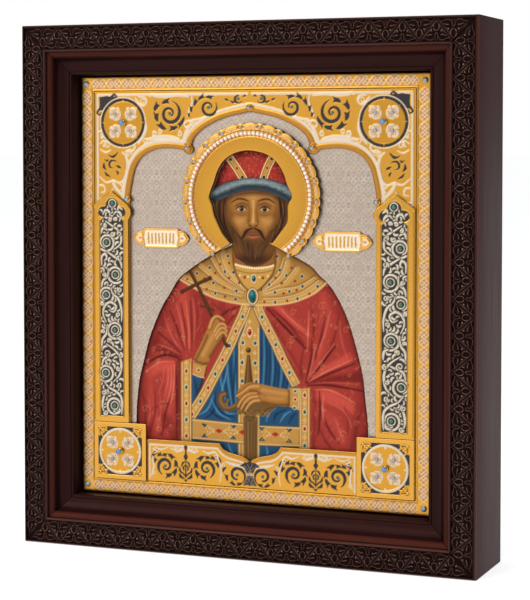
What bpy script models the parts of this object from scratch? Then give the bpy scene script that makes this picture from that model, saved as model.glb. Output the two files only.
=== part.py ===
"""Framed icon panel: a painted board under a gilded and silvered metal cover, in a deep carved frame.

Metres, +Z up. The panel stands on its bottom edge and its front faces -Y. The origin is at the middle
of the underside. Outlines are drawn in (x, z) seen from the front; depths are measured from the
frame's front plane towards the back.
"""

import math

import bmesh
import bpy
from mathutils import Vector
from mathutils.geometry import delaunay_2d_cdt

# The gap that touching pieces keep between them.
GAP = 0.0003

# Frame moulding, measured inwards from the outer edge of a rail.
EDGE_WIDTH = 0.0016
BAND_WIDTH = 0.0173
FILLET_WIDTH = 0.0020
STRIP_WIDTH = 0.0042
COVE_WIDTH = 0.0102
LIP_WIDTH = 0.0027

# Frame moulding, measured back from the front plane.
EDGE_DEPTH = 0.0035
STRIP_DEPTH = 0.0030
STRIP_FALL = 0.0015
COVE_FALL = 0.0068
GROOVE_DEPTH = 0.0007
LIP_RISE = 0.0003
BACK_CHAMFER = 0.0010

# Zigzag carving of the frame's front band.
CARVING_MARGIN = 0.0008
CARVING_DEPTH = 0.0018
RIBBON_WIDTH = 0.0028
RIBBON_SLOPE = 0.0006
CARVING_PEAK = 0.0003
SIDE_ZIGZAGS = 14
TOP_ZIGZAGS = 13

# Carving inside one triangle of the zigzag, as shares of its way from apex to base and of its width there.
DROP_TOP_SHARE = 0.14
DROP_BELLY_SHARE = 0.44
DROP_FOOT_SHARE = 0.65
DROP_SPREAD_SHARE = 0.58
LEAF_FOOT_SHARE = 0.92
LEAF_TOP_SHARE = 0.51
LEAF_INNER_SHARE = 0.16
LEAF_OUTER_SHARE = 0.88
LEAF_TIP_SHARE = 0.72

# Rooms around the icon inside the frame, and the layers from the front to the back.
SIDE_GAP = 0.0027
END_GAP = 0.0015
BOARD_SETBACK = 0.0250
BOARD_THICKNESS = 0.0280
BACK_THICKNESS = 0.0080
BACK_RECESS = 0.0087
REBATE_WIDTH = 0.0080

# Metal cover: thicknesses of its layers.
GROUND_THICKNESS = 0.0012
BORDER_THICKNESS = 0.0026
ARCH_THICKNESS = 0.0014
ARCH_BAND_WIDTH = 0.0040
ARCH_BAND_RISE = 0.0006
APPLIED_THICKNESS = 0.0011
SUNK_DEPTH = 0.0006
HALO_THICKNESS = 0.0036
CARTOUCHE_THICKNESS = 0.0014
FRONT_BEVEL = 0.0005

# Border of interlaced knots.
BORDER_WIDTH = 0.0110
BORDER_LEDGE = 0.0024
KNOT_WIDTH = 0.0072
KNOT_LENGTH = 0.0100
KNOT_PITCH = 0.0128
KNOT_RISE = 0.0006

# Halo, its pearls and its stones.
HALO_RADIUS = 0.0557
HALO_OFFSET = 0.0012
HALO_RISE = 0.2299
HALO_GAP_ANGLE = math.radians(33.5)
SCALLOP_DEPTH = 0.0016
HALO_STONE_INSET = 0.0030
HALO_STONE_RADIUS = 0.0014
HALO_STONE_HEIGHT = 0.0011
HALO_STONES = 18
PEARL_INSET = 0.0076
PEARL_RADIUS = 0.00145
PEARL_PITCH = 0.0033
THREAD_RADIUS = 0.00045

# Cartouches beside the halo.
CARTOUCHE_LENGTH = 0.0470
CARTOUCHE_HEIGHT = 0.0150
CARTOUCHE_POINT = 0.0090
CARTOUCHE_DROP = 0.0319
CARTOUCHE_CLEARANCE = 0.0028
CARTOUCHE_MARGIN = 0.0030
CARTOUCHE_RIM = 0.0018

# Arch, columns, corner squares and sill.
ARCH_CLEARANCE = 0.0084
ARCH_RISE = 0.0635
SPANDREL_HEIGHT = 0.0160
COLUMN_WIDTH = 0.0298
COLUMN_BAND = 0.0050
GABLE_RISE = 0.0105
GABLE_SWELL = 0.0022
GABLE_LIFT = 0.0030
LOBE_RADIUS = 0.0045
SILL_HEIGHT = 0.0325
SILL_CUSP_DEPTH = 0.0120
SILL_CUSP_WIDTH = 0.0250
SQUARE_RIM = 0.0034
SQUARE_MARGIN = 0.0006
MEDALLION_RADIUS = 0.0180
MEDALLION_RIM = 0.0028
MEDALLION_INSET = 0.0062
MEDALLION_SIDES = 16
PETAL_LENGTH = 0.0076
PETAL_WIDTH = 0.0070
PETAL_START = 0.0052

# Studs: a pin under a round head.
STUD_PIN_RADIUS = 0.0012
STUD_PIN_HEIGHT = 0.0012
STUD_HEAD_HEIGHT = 0.0014
STUD_SIDES = 8
MEDALLION_STUD_RADIUS = 0.0040
ARCH_STUD_RADIUS = 0.0031
BORDER_STUD_RADIUS = 0.0036
BORDER_STUD_INSET = 0.0046

# Painted figure: the opening that the cover leaves for it.
FIGURE_WIDTH = 0.1880
FIGURE_SHOULDER_DROP = 0.0359
HEAD_WIDTH = 0.0680
HEAD_TOP = 0.0341
NECK_WIDTH = 0.0370

# Sizes that follow from the ones above.
RAIL_WIDTH = EDGE_WIDTH + BAND_WIDTH + FILLET_WIDTH + STRIP_WIDTH + COVE_WIDTH + LIP_WIDTH
REBATE_DEPTH = BOARD_SETBACK + BOARD_THICKNESS
DEPTH = REBATE_DEPTH + GAP + BACK_THICKNESS + BACK_RECESS
CARTOUCHE_INNER = (HALO_OFFSET + math.sqrt(HALO_RADIUS**2 - CARTOUCHE_DROP**2)
                   + CARTOUCHE_CLEARANCE)
ARCH_HALF_SPAN = CARTOUCHE_INNER + CARTOUCHE_LENGTH + CARTOUCHE_MARGIN
COVER_HALF_WIDTH = ARCH_HALF_SPAN + COLUMN_WIDTH
ICON_HALF_WIDTH = COVER_HALF_WIDTH + BORDER_WIDTH
ICON_HEIGHT = HALO_RISE + HALO_RADIUS + ARCH_CLEARANCE + SPANDREL_HEIGHT + BORDER_WIDTH
WIDTH = 2 * (ICON_HALF_WIDTH + SIDE_GAP + RAIL_WIDTH)
HEIGHT = ICON_HEIGHT + 2 * (END_GAP + RAIL_WIDTH)
ICON_BOTTOM = RAIL_WIDTH + END_GAP
ICON_TOP = ICON_BOTTOM + ICON_HEIGHT
COVER_BOTTOM = ICON_BOTTOM + BORDER_WIDTH
COVER_TOP = ICON_TOP - BORDER_WIDTH
HALO_Z = ICON_BOTTOM + HALO_RISE
ARCH_APEX = HALO_Z + HALO_RADIUS + ARCH_CLEARANCE
ARCH_SPRING = ARCH_APEX - ARCH_RISE
MEDALLION_SET = MEDALLION_RADIUS + MEDALLION_INSET
SQUARE_SIZE = 2 * (MEDALLION_RADIUS + SQUARE_MARGIN + SQUARE_RIM)

GROUND_BACK = BOARD_SETBACK - GAP
GROUND_FRONT = GROUND_BACK - GROUND_THICKNESS
BORDER_FRONT = GROUND_BACK - BORDER_THICKNESS
ON_GROUND = GROUND_FRONT - GAP
ARCH_FRONT = ON_GROUND - ARCH_THICKNESS
APPLIED_BACK = ARCH_FRONT - ARCH_BAND_RISE - GAP
APPLIED_FRONT = APPLIED_BACK - APPLIED_THICKNESS
HALO_FRONT = ON_GROUND - HALO_THICKNESS
CARTOUCHE_FRONT = ON_GROUND - CARTOUCHE_THICKNESS


# Outlines in (x, z)

def arc(centre, radius, start, end, count):
    """Points along a circle from one angle to another, both ends included."""
    points = []
    for i in range(count + 1):
        angle = start + (end - start) * i / count
        points.append((centre[0] + radius * math.cos(angle), centre[1] + radius * math.sin(angle)))
    return points


def circle(centre, radius, count):
    return arc(centre, radius, 0.0, 2 * math.pi, count)[:-1]


def rectangle(x0, x1, z0, z1):
    return [(x0, z0), (x1, z0), (x1, z1), (x0, z1)]


def mirrored(points):
    """The outline's other half: the same points reversed, at -x."""
    return [(-x, z) for x, z in reversed(points)]


def inset(points, distance):
    """Move each side of a counter-clockwise outline inwards by the distance."""
    moved = []
    for i, point in enumerate(points):
        here = Vector(point)
        before = (here - Vector(points[i - 1])).normalized()
        after = (Vector(points[(i + 1) % len(points)]) - here).normalized()
        normal = Vector((-before.y - after.y, before.x + after.x)).normalized()
        reach = max(0.3, normal.dot(Vector((-before.y, before.x))))
        moved.append(tuple(here + normal * (distance / reach)))
    return moved


def inside(point, outline):
    """Whether a point lies inside an outline, by counting crossings."""
    hit = False
    x, z = point
    for i, (ax, az) in enumerate(outline):
        bx, bz = outline[i - 1]
        if (az > z) != (bz > z) and x < (bx - ax) * (z - az) / (bz - az) + ax:
            hit = not hit
    return hit


def triangles(outline, holes):
    """Triangles, as indices into outline + holes, that fill an outline around its holes."""
    points = [Vector(p) for loop in [outline] + holes for p in loop]
    edges = []
    first = 0
    for loop in [outline] + holes:
        edges += [(first + i, first + (i + 1) % len(loop)) for i in range(len(loop))]
        first += len(loop)
    found = delaunay_2d_cdt(points, edges, [], 1, 1e-8)
    spots, faces, sources = found[0], found[2], found[3]
    result = []
    for face in faces:
        middle = sum((spots[i] for i in face), Vector((0, 0))) / 3
        if inside(middle, outline) and not any(inside(middle, hole) for hole in holes):
            a, b, c = (spots[i] for i in face)
            order = list(face) if (b - a).cross(c - a) > 0 else [face[0], face[2], face[1]]
            result.append([sources[i][0] for i in order])
    return result


class Step:
    """A raised or sunk area: its edge on the face around it, and its floor or its peak."""

    def __init__(self, edge, depth, floor=None, steps=(), peak=None, through=False):
        self.edge = edge
        self.depth = depth
        self.floor = floor or edge
        self.steps = list(steps)
        self.peak = peak
        self.through = through


class Solid:
    """Collects the points and faces of one closed body, placed by a function."""

    def __init__(self, place):
        self.place = place
        self.points = []
        self.faces = []

    def ring(self, outline, depth):
        first = len(self.points)
        self.points += [self.place(x, z, depth) for x, z in outline]
        return list(range(first, len(self.points)))

    def bridge(self, outer, inner):
        """Join two rings of equal length; the outer one lies nearer the reader's left hand."""
        count = len(outer)
        for i in range(count):
            j = (i + 1) % count
            self.faces.append([outer[i], outer[j], inner[j], inner[i]])

    def face(self, outline, ring, depth, steps=(), flip=False):
        """Fill an outline at one depth, with its steps; return the rings that run right through."""
        loops = [(step, self.ring(step.edge, depth)) for step in steps]
        indices = list(ring)
        for _, loop in loops:
            indices += loop
        for triangle in triangles(outline, [step.edge for step in steps]):
            corners = [indices[i] for i in triangle]
            self.faces.append(corners[::-1] if flip else corners)
        holes = []
        for step, loop in loops:
            if step.through:
                holes.append((step, loop))
            elif step.peak:
                tip = len(self.points)
                self.points.append(self.place(*step.peak, step.depth))
                for i in range(len(loop)):
                    self.faces.append([loop[i], loop[(i + 1) % len(loop)], tip])
            else:
                floor = self.ring(step.floor, step.depth)
                self.bridge(loop, floor)
                self.face(step.floor, floor, step.depth, step.steps)
        return holes

    def build(self, name, material, smooth=False):
        mesh = bpy.data.meshes.new(name)
        mesh.from_pydata(self.points, [], self.faces)
        mesh.materials.append(material)
        shape = bmesh.new()
        shape.from_mesh(mesh)
        bmesh.ops.recalc_face_normals(shape, faces=shape.faces)
        shape.to_mesh(mesh)
        shape.free()
        if smooth:
            mesh.shade_smooth()
            mesh.set_sharp_from_angle(angle=math.radians(40))
        piece = bpy.data.objects.new(name, mesh)
        bpy.context.scene.collection.objects.link(piece)
        return piece


def in_frame(x, z, depth):
    """Front-view position and depth to the part's own axes."""
    return (x, depth - DEPTH / 2, z)


def plate(name, material, outline, back, front, steps=(), bevel=0.0):
    """A flat plate with a bevelled front edge, steps on its front and openings through it."""
    solid = Solid(in_frame)
    rear = solid.ring(outline, back)
    shoulder = solid.ring(outline, front + bevel) if bevel else rear
    top_outline = inset(outline, bevel) if bevel else outline
    top = solid.ring(top_outline, front)
    if bevel:
        solid.bridge(rear, shoulder)
    solid.bridge(shoulder, top)
    holes = solid.face(top_outline, top, front, steps)
    rear_edges = []
    rear_rings = list(rear)
    for step, loop in holes:
        low = solid.ring(step.floor, back)
        solid.bridge(loop, low)
        rear_edges.append(step.floor)
        rear_rings += low
    for triangle in triangles(outline, rear_edges):
        solid.faces.append([rear_rings[i] for i in reversed(triangle)])
    return solid.build(name, material)


# Materials

def colour(red, green, blue):
    """A screen colour, 0 to 255, as the linear values that a shader takes."""
    linear = []
    for value in (red, green, blue):
        share = value / 255
        linear.append(share / 12.92 if share <= 0.04045 else ((share + 0.055) / 1.055) ** 2.4)
    return (*linear, 1.0)


def material(name, shade, roughness, metallic=0.0):
    made = bpy.data.materials.new(name)
    made.use_nodes = True
    shader = made.node_tree.nodes["Principled BSDF"]
    shader.inputs["Base Color"].default_value = shade
    shader.inputs["Roughness"].default_value = roughness
    shader.inputs["Metallic"].default_value = metallic
    return made


# Frame rails

def moulding():
    """Section of a rail as (distance in from the outer edge, depth), and its carved side's number."""
    band_start = EDGE_WIDTH
    band_end = band_start + BAND_WIDTH
    strip_start = band_end + FILLET_WIDTH
    cove_start = strip_start + STRIP_WIDTH
    lip_start = cove_start + COVE_WIDTH
    lip_end = lip_start + LIP_WIDTH
    strip_end_depth = STRIP_DEPTH + STRIP_FALL
    cove_end_depth = strip_end_depth + COVE_FALL
    lip_depth = cove_end_depth - LIP_RISE
    groove_end = lip_start + LIP_WIDTH / 3
    section = [
        (BACK_CHAMFER, DEPTH),
        (0.0, DEPTH - BACK_CHAMFER),
        (0.0, EDGE_DEPTH),
        (EDGE_WIDTH * 0.28, EDGE_DEPTH * 0.32),
        (band_start, 0.0),
        (band_end, 0.0),
        (band_end + FILLET_WIDTH * 0.5, 0.0),
        (band_end + FILLET_WIDTH * 0.7, STRIP_DEPTH * 0.2),
        (strip_start, STRIP_DEPTH),
        (strip_start + STRIP_WIDTH / 2, STRIP_DEPTH + STRIP_FALL * 0.2),
        (cove_start, strip_end_depth),
    ]
    cove_steps = 4
    for i in range(1, cove_steps + 1):
        turn = math.pi / 2 * i / cove_steps
        section.append((cove_start + COVE_WIDTH * (1 - math.cos(turn)),
                        strip_end_depth + COVE_FALL * math.sin(turn)))
    section += [
        (lip_start + LIP_WIDTH * 0.07, cove_end_depth + GROOVE_DEPTH),
        (groove_end, cove_end_depth + GROOVE_DEPTH),
        (groove_end, lip_depth),
        (lip_end - LIP_WIDTH * 0.15, lip_depth),
        (lip_end, lip_depth + LIP_WIDTH * 0.2),
        (lip_end, REBATE_DEPTH),
        (lip_end - REBATE_WIDTH, REBATE_DEPTH),
        (lip_end - REBATE_WIDTH, DEPTH),
    ]
    return section, section.index((band_start, 0.0))


def carved_field(apex, base_start, base_end):
    """One sunk triangle between the ribbons: a drop that hangs from its apex and two leaves."""
    corners = [apex, base_start, base_end]
    if (Vector(base_start) - Vector(apex)).cross(Vector(base_end) - Vector(apex)) < 0:
        corners = [apex, base_end, base_start]
    edge = inset(corners, RIBBON_WIDTH / 2)
    floor = inset(edge, RIBBON_SLOPE)
    top, right, left = (Vector(point) for point in floor)

    def spot(down, side):
        middle = top.lerp((left + right) / 2, down)
        return tuple(middle + (right - left) / 2 * down * side)

    drop = [spot(DROP_TOP_SHARE, 0), spot(DROP_BELLY_SHARE, DROP_SPREAD_SHARE),
            spot(DROP_FOOT_SHARE, 0), spot(DROP_BELLY_SHARE, -DROP_SPREAD_SHARE)]
    carvings = [(drop, spot(DROP_BELLY_SHARE, 0))]
    for side in (-1, 1):
        leaf = [spot(LEAF_FOOT_SHARE, side * LEAF_INNER_SHARE),
                spot(LEAF_FOOT_SHARE, side * LEAF_OUTER_SHARE),
                spot(LEAF_TOP_SHARE, side * LEAF_TIP_SHARE)]
        peak = (Vector(leaf[0]) + Vector(leaf[1]) + Vector(leaf[2])) / 3
        carvings.append((leaf, tuple(peak)))
    steps = []
    for outline, peak in carvings:
        turn = (Vector(outline[1]) - Vector(outline[0])).cross(Vector(outline[2]) - Vector(outline[0]))
        ordered = outline if turn > 0 else outline[::-1]
        steps.append(Step(ordered, CARVING_PEAK, peak=peak))
    return Step(edge, CARVING_DEPTH, floor=floor, steps=steps)


def carved_band(length, count):
    """The sunk triangles of one rail, which zigzag between its two corners."""
    outer = EDGE_WIDTH + CARVING_MARGIN
    inner = EDGE_WIDTH + BAND_WIDTH - CARVING_MARGIN
    pitch = (length - 2 * inner) / count
    fields = [carved_field((inner, inner), (outer, outer), (inner + pitch / 2, outer))]
    for i in range(count):
        start = inner + i * pitch
        fields.append(carved_field((start + pitch / 2, outer), (start, inner), (start + pitch, inner)))
        if i:
            fields.append(carved_field((start, inner), (start - pitch / 2, outer),
                                       (start + pitch / 2, outer)))
    end = length - inner
    fields.append(carved_field((end, inner), (end - pitch / 2, outer), (length - outer, outer)))
    return fields


def rail(name, finish, length, across, turn, zigzags):
    """A mitred rail; it is drawn as the lower one and turned about the frame's middle."""
    spin = math.radians(turn)

    def place(along, in_from_edge, depth):
        x = along - length / 2
        z = in_from_edge - across / 2
        return in_frame(x * math.cos(spin) - z * math.sin(spin),
                        x * math.sin(spin) + z * math.cos(spin) + HEIGHT / 2, depth)

    solid = Solid(place)
    section, band = moulding()
    mitre = GAP / 2 * math.sqrt(2)
    rows = []
    for width, depth in section:
        ends = [(width + mitre, width), (length - width - mitre, width)]
        rows.append(solid.ring(ends, depth))
    for i, row in enumerate(rows):
        after = rows[(i + 1) % len(rows)]
        if i == band:
            low, high = section[i][0], section[i + 1][0]
            outline = [(low + mitre, low), (length - low - mitre, low),
                       (length - high - mitre, high), (high + mitre, high)]
            corners = [row[0], row[1], after[1], after[0]]
            solid.face(outline, corners, 0.0, carved_band(length, zigzags))
        else:
            solid.faces.append([row[0], row[1], after[1], after[0]])
    for end in (0, 1):
        cap = [row[end] for row in rows]
        solid.faces.append(cap if end == 0 else cap[::-1])
    return solid.build(name, finish)


def frame_rails(finish):
    rail("frame_bottom", finish, WIDTH, HEIGHT, 0, TOP_ZIGZAGS)
    rail("frame_right", finish, HEIGHT, WIDTH, 90, SIDE_ZIGZAGS)
    rail("frame_top", finish, WIDTH, HEIGHT, 180, TOP_ZIGZAGS)
    rail("frame_left", finish, HEIGHT, WIDTH, 270, SIDE_ZIGZAGS)


# Boards

def boards(wood, back_wood):
    board = rectangle(-ICON_HALF_WIDTH, ICON_HALF_WIDTH, ICON_BOTTOM, ICON_TOP)
    plate("icon_board", wood, board, BOARD_SETBACK + BOARD_THICKNESS, BOARD_SETBACK)
    reach = RAIL_WIDTH - REBATE_WIDTH + GAP
    back = rectangle(reach - WIDTH / 2, WIDTH / 2 - reach, reach, HEIGHT - reach)
    front = REBATE_DEPTH + GAP
    plate("back_board", back_wood, back, front + BACK_THICKNESS, front)


# Cover: border, ground, arch, columns and squares

def knot(x, z, upright):
    """One knot of the border: a low four-sided boss."""
    half_length, half_width = KNOT_LENGTH / 2, KNOT_WIDTH / 2
    reach_x, reach_z = (half_width, half_length) if upright else (half_length, half_width)
    edge = [(x - reach_x, z), (x, z - reach_z), (x + reach_x, z), (x, z + reach_z)]
    return Step(edge, BORDER_FRONT - KNOT_RISE, peak=(x, z))


def border_plate(gold):
    """The raised border around the cover, with a row of knots along each side."""
    outline = rectangle(-ICON_HALF_WIDTH, ICON_HALF_WIDTH, ICON_BOTTOM, ICON_TOP)
    middle = (BORDER_WIDTH - BORDER_LEDGE) / 2
    run_x = ICON_HALF_WIDTH - middle
    low, high = ICON_BOTTOM + middle, ICON_TOP - middle
    steps = [Step(rectangle(-COVER_HALF_WIDTH - GAP, COVER_HALF_WIDTH + GAP,
                            COVER_BOTTOM - GAP, COVER_TOP + GAP), 0.0, through=True)]
    across = max(1, round(2 * run_x / KNOT_PITCH))
    for i in range(1, across):
        x = -run_x + 2 * run_x * i / across
        steps += [knot(x, low, False), knot(x, high, False)]
    upward = max(1, round((high - low) / KNOT_PITCH))
    for i in range(1, upward):
        z = low + (high - low) * i / upward
        steps += [knot(-run_x, z, True), knot(run_x, z, True)]
    plate("border_plate", gold, outline, GROUND_BACK, BORDER_FRONT, steps)


def figure_opening():
    """The opening of the ground plate: the painted figure's cloak, neck and head."""
    half = FIGURE_WIDTH / 2
    shoulder = HALO_Z - FIGURE_SHOULDER_DROP
    foot = COVER_BOTTOM + SILL_HEIGHT / 2
    rise = shoulder - foot
    cloak = [(1.0, 0.0), (1.0, 0.22), (0.985, 0.36), (0.93, 0.50), (0.83, 0.64), (0.70, 0.76),
             (0.53, 0.875), (0.38, 0.94)]
    side = [(half * x, foot + rise * z) for x, z in cloak] + [(NECK_WIDTH / 2, shoulder)]
    head = arc((0.0, HALO_Z), HEAD_WIDTH / 2, math.radians(-62), math.radians(90), 7)
    right = side + head[:-1]
    return right + [head[-1]] + mirrored(right)


def ground_plate(silver):
    outline = rectangle(-COVER_HALF_WIDTH, COVER_HALF_WIDTH, COVER_BOTTOM, COVER_TOP)
    opening = Step(figure_opening(), 0.0, through=True)
    plate("ground_plate", silver, outline, GROUND_BACK, GROUND_FRONT, [opening])


def arch_opening():
    """The opening of the arch plate, counter-clockwise from the middle of the sill."""
    span, rise = ARCH_HALF_SPAN, ARCH_RISE
    sill = COVER_BOTTOM + SILL_HEIGHT
    ogee = [(0.08, 0.93), (0.30, 0.72), (0.60, 0.58), (0.86, 0.33), (1.0, 0.0)]
    right = [(SILL_CUSP_WIDTH * x, sill - SILL_CUSP_DEPTH * z) for x, z in ogee]
    right += [(span, sill), (span, ARCH_SPRING)]
    shoulder = [(0.985, 0.16), (0.945, 0.32), (0.86, 0.49), (0.75, 0.56), (0.62, 0.57), (0.505, 0.555)]
    crest = [(0.47, 0.65), (0.40, 0.78), (0.30, 0.88), (0.15, 0.945)]
    right += [(span * x, ARCH_SPRING + rise * z) for x, z in shoulder + crest]
    return [(0.0, sill - SILL_CUSP_DEPTH)] + right + [(0.0, ARCH_APEX)] + mirrored(right)


def petals(centre, depth, rise):
    """Four spade-shaped petals, as low bosses on the diagonals."""
    steps = []
    for i in range(4):
        angle = math.radians(45 + 90 * i)
        out = Vector((math.cos(angle), math.sin(angle)))
        side = Vector((-out.y, out.x))
        middle = Vector(centre)
        near = middle + out * PETAL_START
        wide = middle + out * (PETAL_START + PETAL_LENGTH * 0.45)
        far = middle + out * (PETAL_START + PETAL_LENGTH)
        edge = [tuple(near), tuple(wide - side * PETAL_WIDTH / 2), tuple(far),
                tuple(wide + side * PETAL_WIDTH / 2)]
        steps.append(Step(edge, depth - rise, peak=tuple(wide)))
    return steps


def medallion(centre, depth):
    """A raised ring with a disc of four petals inside it."""
    disc = circle(centre, MEDALLION_RADIUS - MEDALLION_RIM, MEDALLION_SIDES)
    inner = Step(disc, depth, steps=petals(centre, depth, SUNK_DEPTH / 2))
    return Step(circle(centre, MEDALLION_RADIUS, MEDALLION_SIDES), depth - SUNK_DEPTH, steps=[inner])


def arch_plate(dark):
    """The plate around the arched field: spandrels, side strips and the cusped sill.

    A raised band runs all around the opening, and the columns and corner squares lie on it.
    """
    outline = rectangle(-COVER_HALF_WIDTH, COVER_HALF_WIDTH, COVER_BOTTOM, COVER_TOP)
    opening = arch_opening()
    wide = inset(opening, -ARCH_BAND_WIDTH)
    band_front = ARCH_FRONT - ARCH_BAND_RISE
    steps = [Step(wide, 0.0, through=True)]
    for side in (-1, 1):
        centre = (side * (COVER_HALF_WIDTH - MEDALLION_SET), COVER_TOP - MEDALLION_SET)
        steps.append(medallion(centre, ARCH_FRONT))
    solid = Solid(in_frame)
    rear = solid.ring(outline, ON_GROUND)
    shoulder = solid.ring(outline, ARCH_FRONT + FRONT_BEVEL)
    top_outline = inset(outline, FRONT_BEVEL)
    top = solid.ring(top_outline, ARCH_FRONT)
    solid.bridge(rear, shoulder)
    solid.bridge(shoulder, top)
    _, foot = solid.face(top_outline, top, ARCH_FRONT, steps)[0]
    rings = [foot, solid.ring(wide, band_front), solid.ring(opening, band_front),
             solid.ring(opening, ON_GROUND)]
    for one, two in zip(rings, rings[1:]):
        solid.bridge(one, two)
    indices = rear + rings[-1]
    for triangle in triangles(outline, [opening]):
        solid.faces.append([indices[i] for i in reversed(triangle)])
    solid.build("arch_plate", dark)


def column(name, gold, side):
    """A flat column with a gabled head and a sunk panel that ends in a trefoil."""
    outer, inner = COVER_HALF_WIDTH, ARCH_HALF_SPAN + GAP
    foot = COVER_BOTTOM + SQUARE_SIZE + GAP
    apex = ARCH_SPRING + GABLE_LIFT
    middle = (outer + inner) / 2
    eaves = apex - GABLE_RISE
    outline = [(inner, foot), (outer, foot), (outer, eaves), (middle, apex),
               (inner - GABLE_SWELL, eaves - GABLE_RISE * 0.3), (inner, eaves - GABLE_RISE)]
    low, high = inner + COLUMN_BAND, outer - COLUMN_BAND
    neck = apex - GABLE_RISE - 4 * LOBE_RADIUS
    head = neck + 1.6 * LOBE_RADIUS
    panel = [(low, foot + COLUMN_BAND), (high, foot + COLUMN_BAND), (high, neck)]
    lobe_side = (high - LOBE_RADIUS * 0.6, head)
    panel += arc(lobe_side, LOBE_RADIUS, math.radians(-60), math.radians(120), 4)
    panel += arc((middle, head + LOBE_RADIUS * 1.4), LOBE_RADIUS, math.radians(-10),
                 math.radians(190), 5)
    mirror_side = (low + LOBE_RADIUS * 0.6, head)
    panel += arc(mirror_side, LOBE_RADIUS, math.radians(60), math.radians(240), 4)
    panel.append((low, neck))
    if side < 0:
        outline, panel = mirrored(outline), mirrored(panel)
    sunk = Step(panel, APPLIED_FRONT + SUNK_DEPTH)
    plate(name, gold, outline, APPLIED_BACK, APPLIED_FRONT, [sunk])


def corner_square(name, dark, side):
    """A raised square with a medallion, at the foot of a column."""
    x0 = COVER_HALF_WIDTH - SQUARE_SIZE
    outline = rectangle(x0, COVER_HALF_WIDTH, COVER_BOTTOM, COVER_BOTTOM + SQUARE_SIZE)
    if side < 0:
        outline = mirrored(outline)
    centre = square_centre(side)
    field_depth = APPLIED_FRONT + SUNK_DEPTH
    field = Step(inset(outline, SQUARE_RIM), field_depth, steps=[medallion(centre, field_depth)])
    plate(name, dark, outline, APPLIED_BACK, APPLIED_FRONT, [field], FRONT_BEVEL)


def square_centre(side):
    return (side * (COVER_HALF_WIDTH - SQUARE_SIZE / 2), COVER_BOTTOM + SQUARE_SIZE / 2)


def cartouche(name, gold, side):
    """A small plate with pointed ends and a sunk field."""
    x0, x1 = CARTOUCHE_INNER, CARTOUCHE_INNER + CARTOUCHE_LENGTH
    z = HALO_Z - CARTOUCHE_DROP
    half = CARTOUCHE_HEIGHT / 2
    outline = [(x0, z), (x0 + CARTOUCHE_POINT / 2, z - half * 0.72), (x0 + CARTOUCHE_POINT, z - half),
               (x1 - CARTOUCHE_POINT, z - half), (x1 - CARTOUCHE_POINT / 2, z - half * 0.72), (x1, z),
               (x1 - CARTOUCHE_POINT / 2, z + half * 0.72), (x1 - CARTOUCHE_POINT, z + half),
               (x0 + CARTOUCHE_POINT, z + half), (x0 + CARTOUCHE_POINT / 2, z + half * 0.72)]
    if side < 0:
        outline = mirrored(outline)
    edge = inset(outline, CARTOUCHE_RIM)
    plate(name, gold, outline, ON_GROUND, CARTOUCHE_FRONT, [Step(edge, CARTOUCHE_FRONT + SUNK_DEPTH)])


# Halo, pearls and stones

def halo_point(radius, angle):
    """A point of the halo; the angle is counted from straight down, counter-clockwise."""
    return (HALO_OFFSET + radius * math.sin(angle), HALO_Z - radius * math.cos(angle))


def stone_angles():
    """Angles of the halo's stones, evenly spread around the part that shows."""
    first = HALO_GAP_ANGLE + math.radians(2)
    last = 2 * math.pi - first
    return [first + (last - first) * i / (HALO_STONES - 1) for i in range(HALO_STONES)]


def halo_outline():
    """Scalloped rim, the shoulder line on each side and the head-shaped opening."""
    angles = stone_angles()
    step = angles[1] - angles[0]
    rim = [halo_point(HALO_RADIUS - SCALLOP_DEPTH, HALO_GAP_ANGLE)]
    low = HALO_RADIUS - SCALLOP_DEPTH
    for i, angle in enumerate(angles):
        rim += [halo_point(HALO_RADIUS, angle), halo_point(low, angle + step * 0.17)]
        if i < HALO_STONES - 1:
            rim += [halo_point(HALO_RADIUS, angle + step * 0.35),
                    halo_point(HALO_RADIUS, angle + step * 0.65),
                    halo_point(low, angle + step * 0.83)]
    rim[-1] = halo_point(HALO_RADIUS - SCALLOP_DEPTH, 2 * math.pi - HALO_GAP_ANGLE)
    shoulder = HALO_Z - FIGURE_SHOULDER_DROP
    half = HEAD_WIDTH / 2
    opening = [(-NECK_WIDTH / 2, shoulder), (-half * 0.80, HALO_Z - half * 0.55)]
    opening += [(-half * 0.97, HALO_Z + HEAD_TOP * 0.02), (-half * 0.80, HALO_Z + HEAD_TOP * 0.36),
                (-half * 0.66, HALO_Z + HEAD_TOP * 0.72), (-half * 0.30, HALO_Z + HEAD_TOP * 0.95)]
    return rim + opening + [(0.0, HALO_Z + HEAD_TOP)] + mirrored(opening)


def halo(gold):
    plate("halo_plate", gold, halo_outline(), ON_GROUND, HALO_FRONT, (), FRONT_BEVEL)


def pearl_string(pearl):
    """One string of pearls around the halo: a chain of beads of few sides, round in its outline."""
    radius = HALO_RADIUS - PEARL_INSET
    start = HALO_GAP_ANGLE + math.radians(4)
    sweep = 2 * (math.pi - start)
    count = max(2, round(radius * sweep / PEARL_PITCH))
    depth = HALO_FRONT - GAP - PEARL_RADIUS
    points, rings = [], []
    for i in range(2 * count + 1):
        angle = start + sweep * i / (2 * count)
        thick = PEARL_RADIUS if i % 2 else THREAD_RADIUS
        ring = []
        for out, back in ((1, 0), (0, 1), (-1, 0), (0, -1)):
            x, z = halo_point(radius + out * thick, angle)
            ring.append(len(points))
            points.append(in_frame(x, z, depth + back * thick))
        rings.append(ring)
    solid = Solid(in_frame)
    solid.points = points
    for one, two in zip(rings, rings[1:]):
        solid.bridge(one, two)
    solid.faces += [rings[0][::-1], rings[-1]]
    solid.build("pearl_string", pearl)


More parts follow.
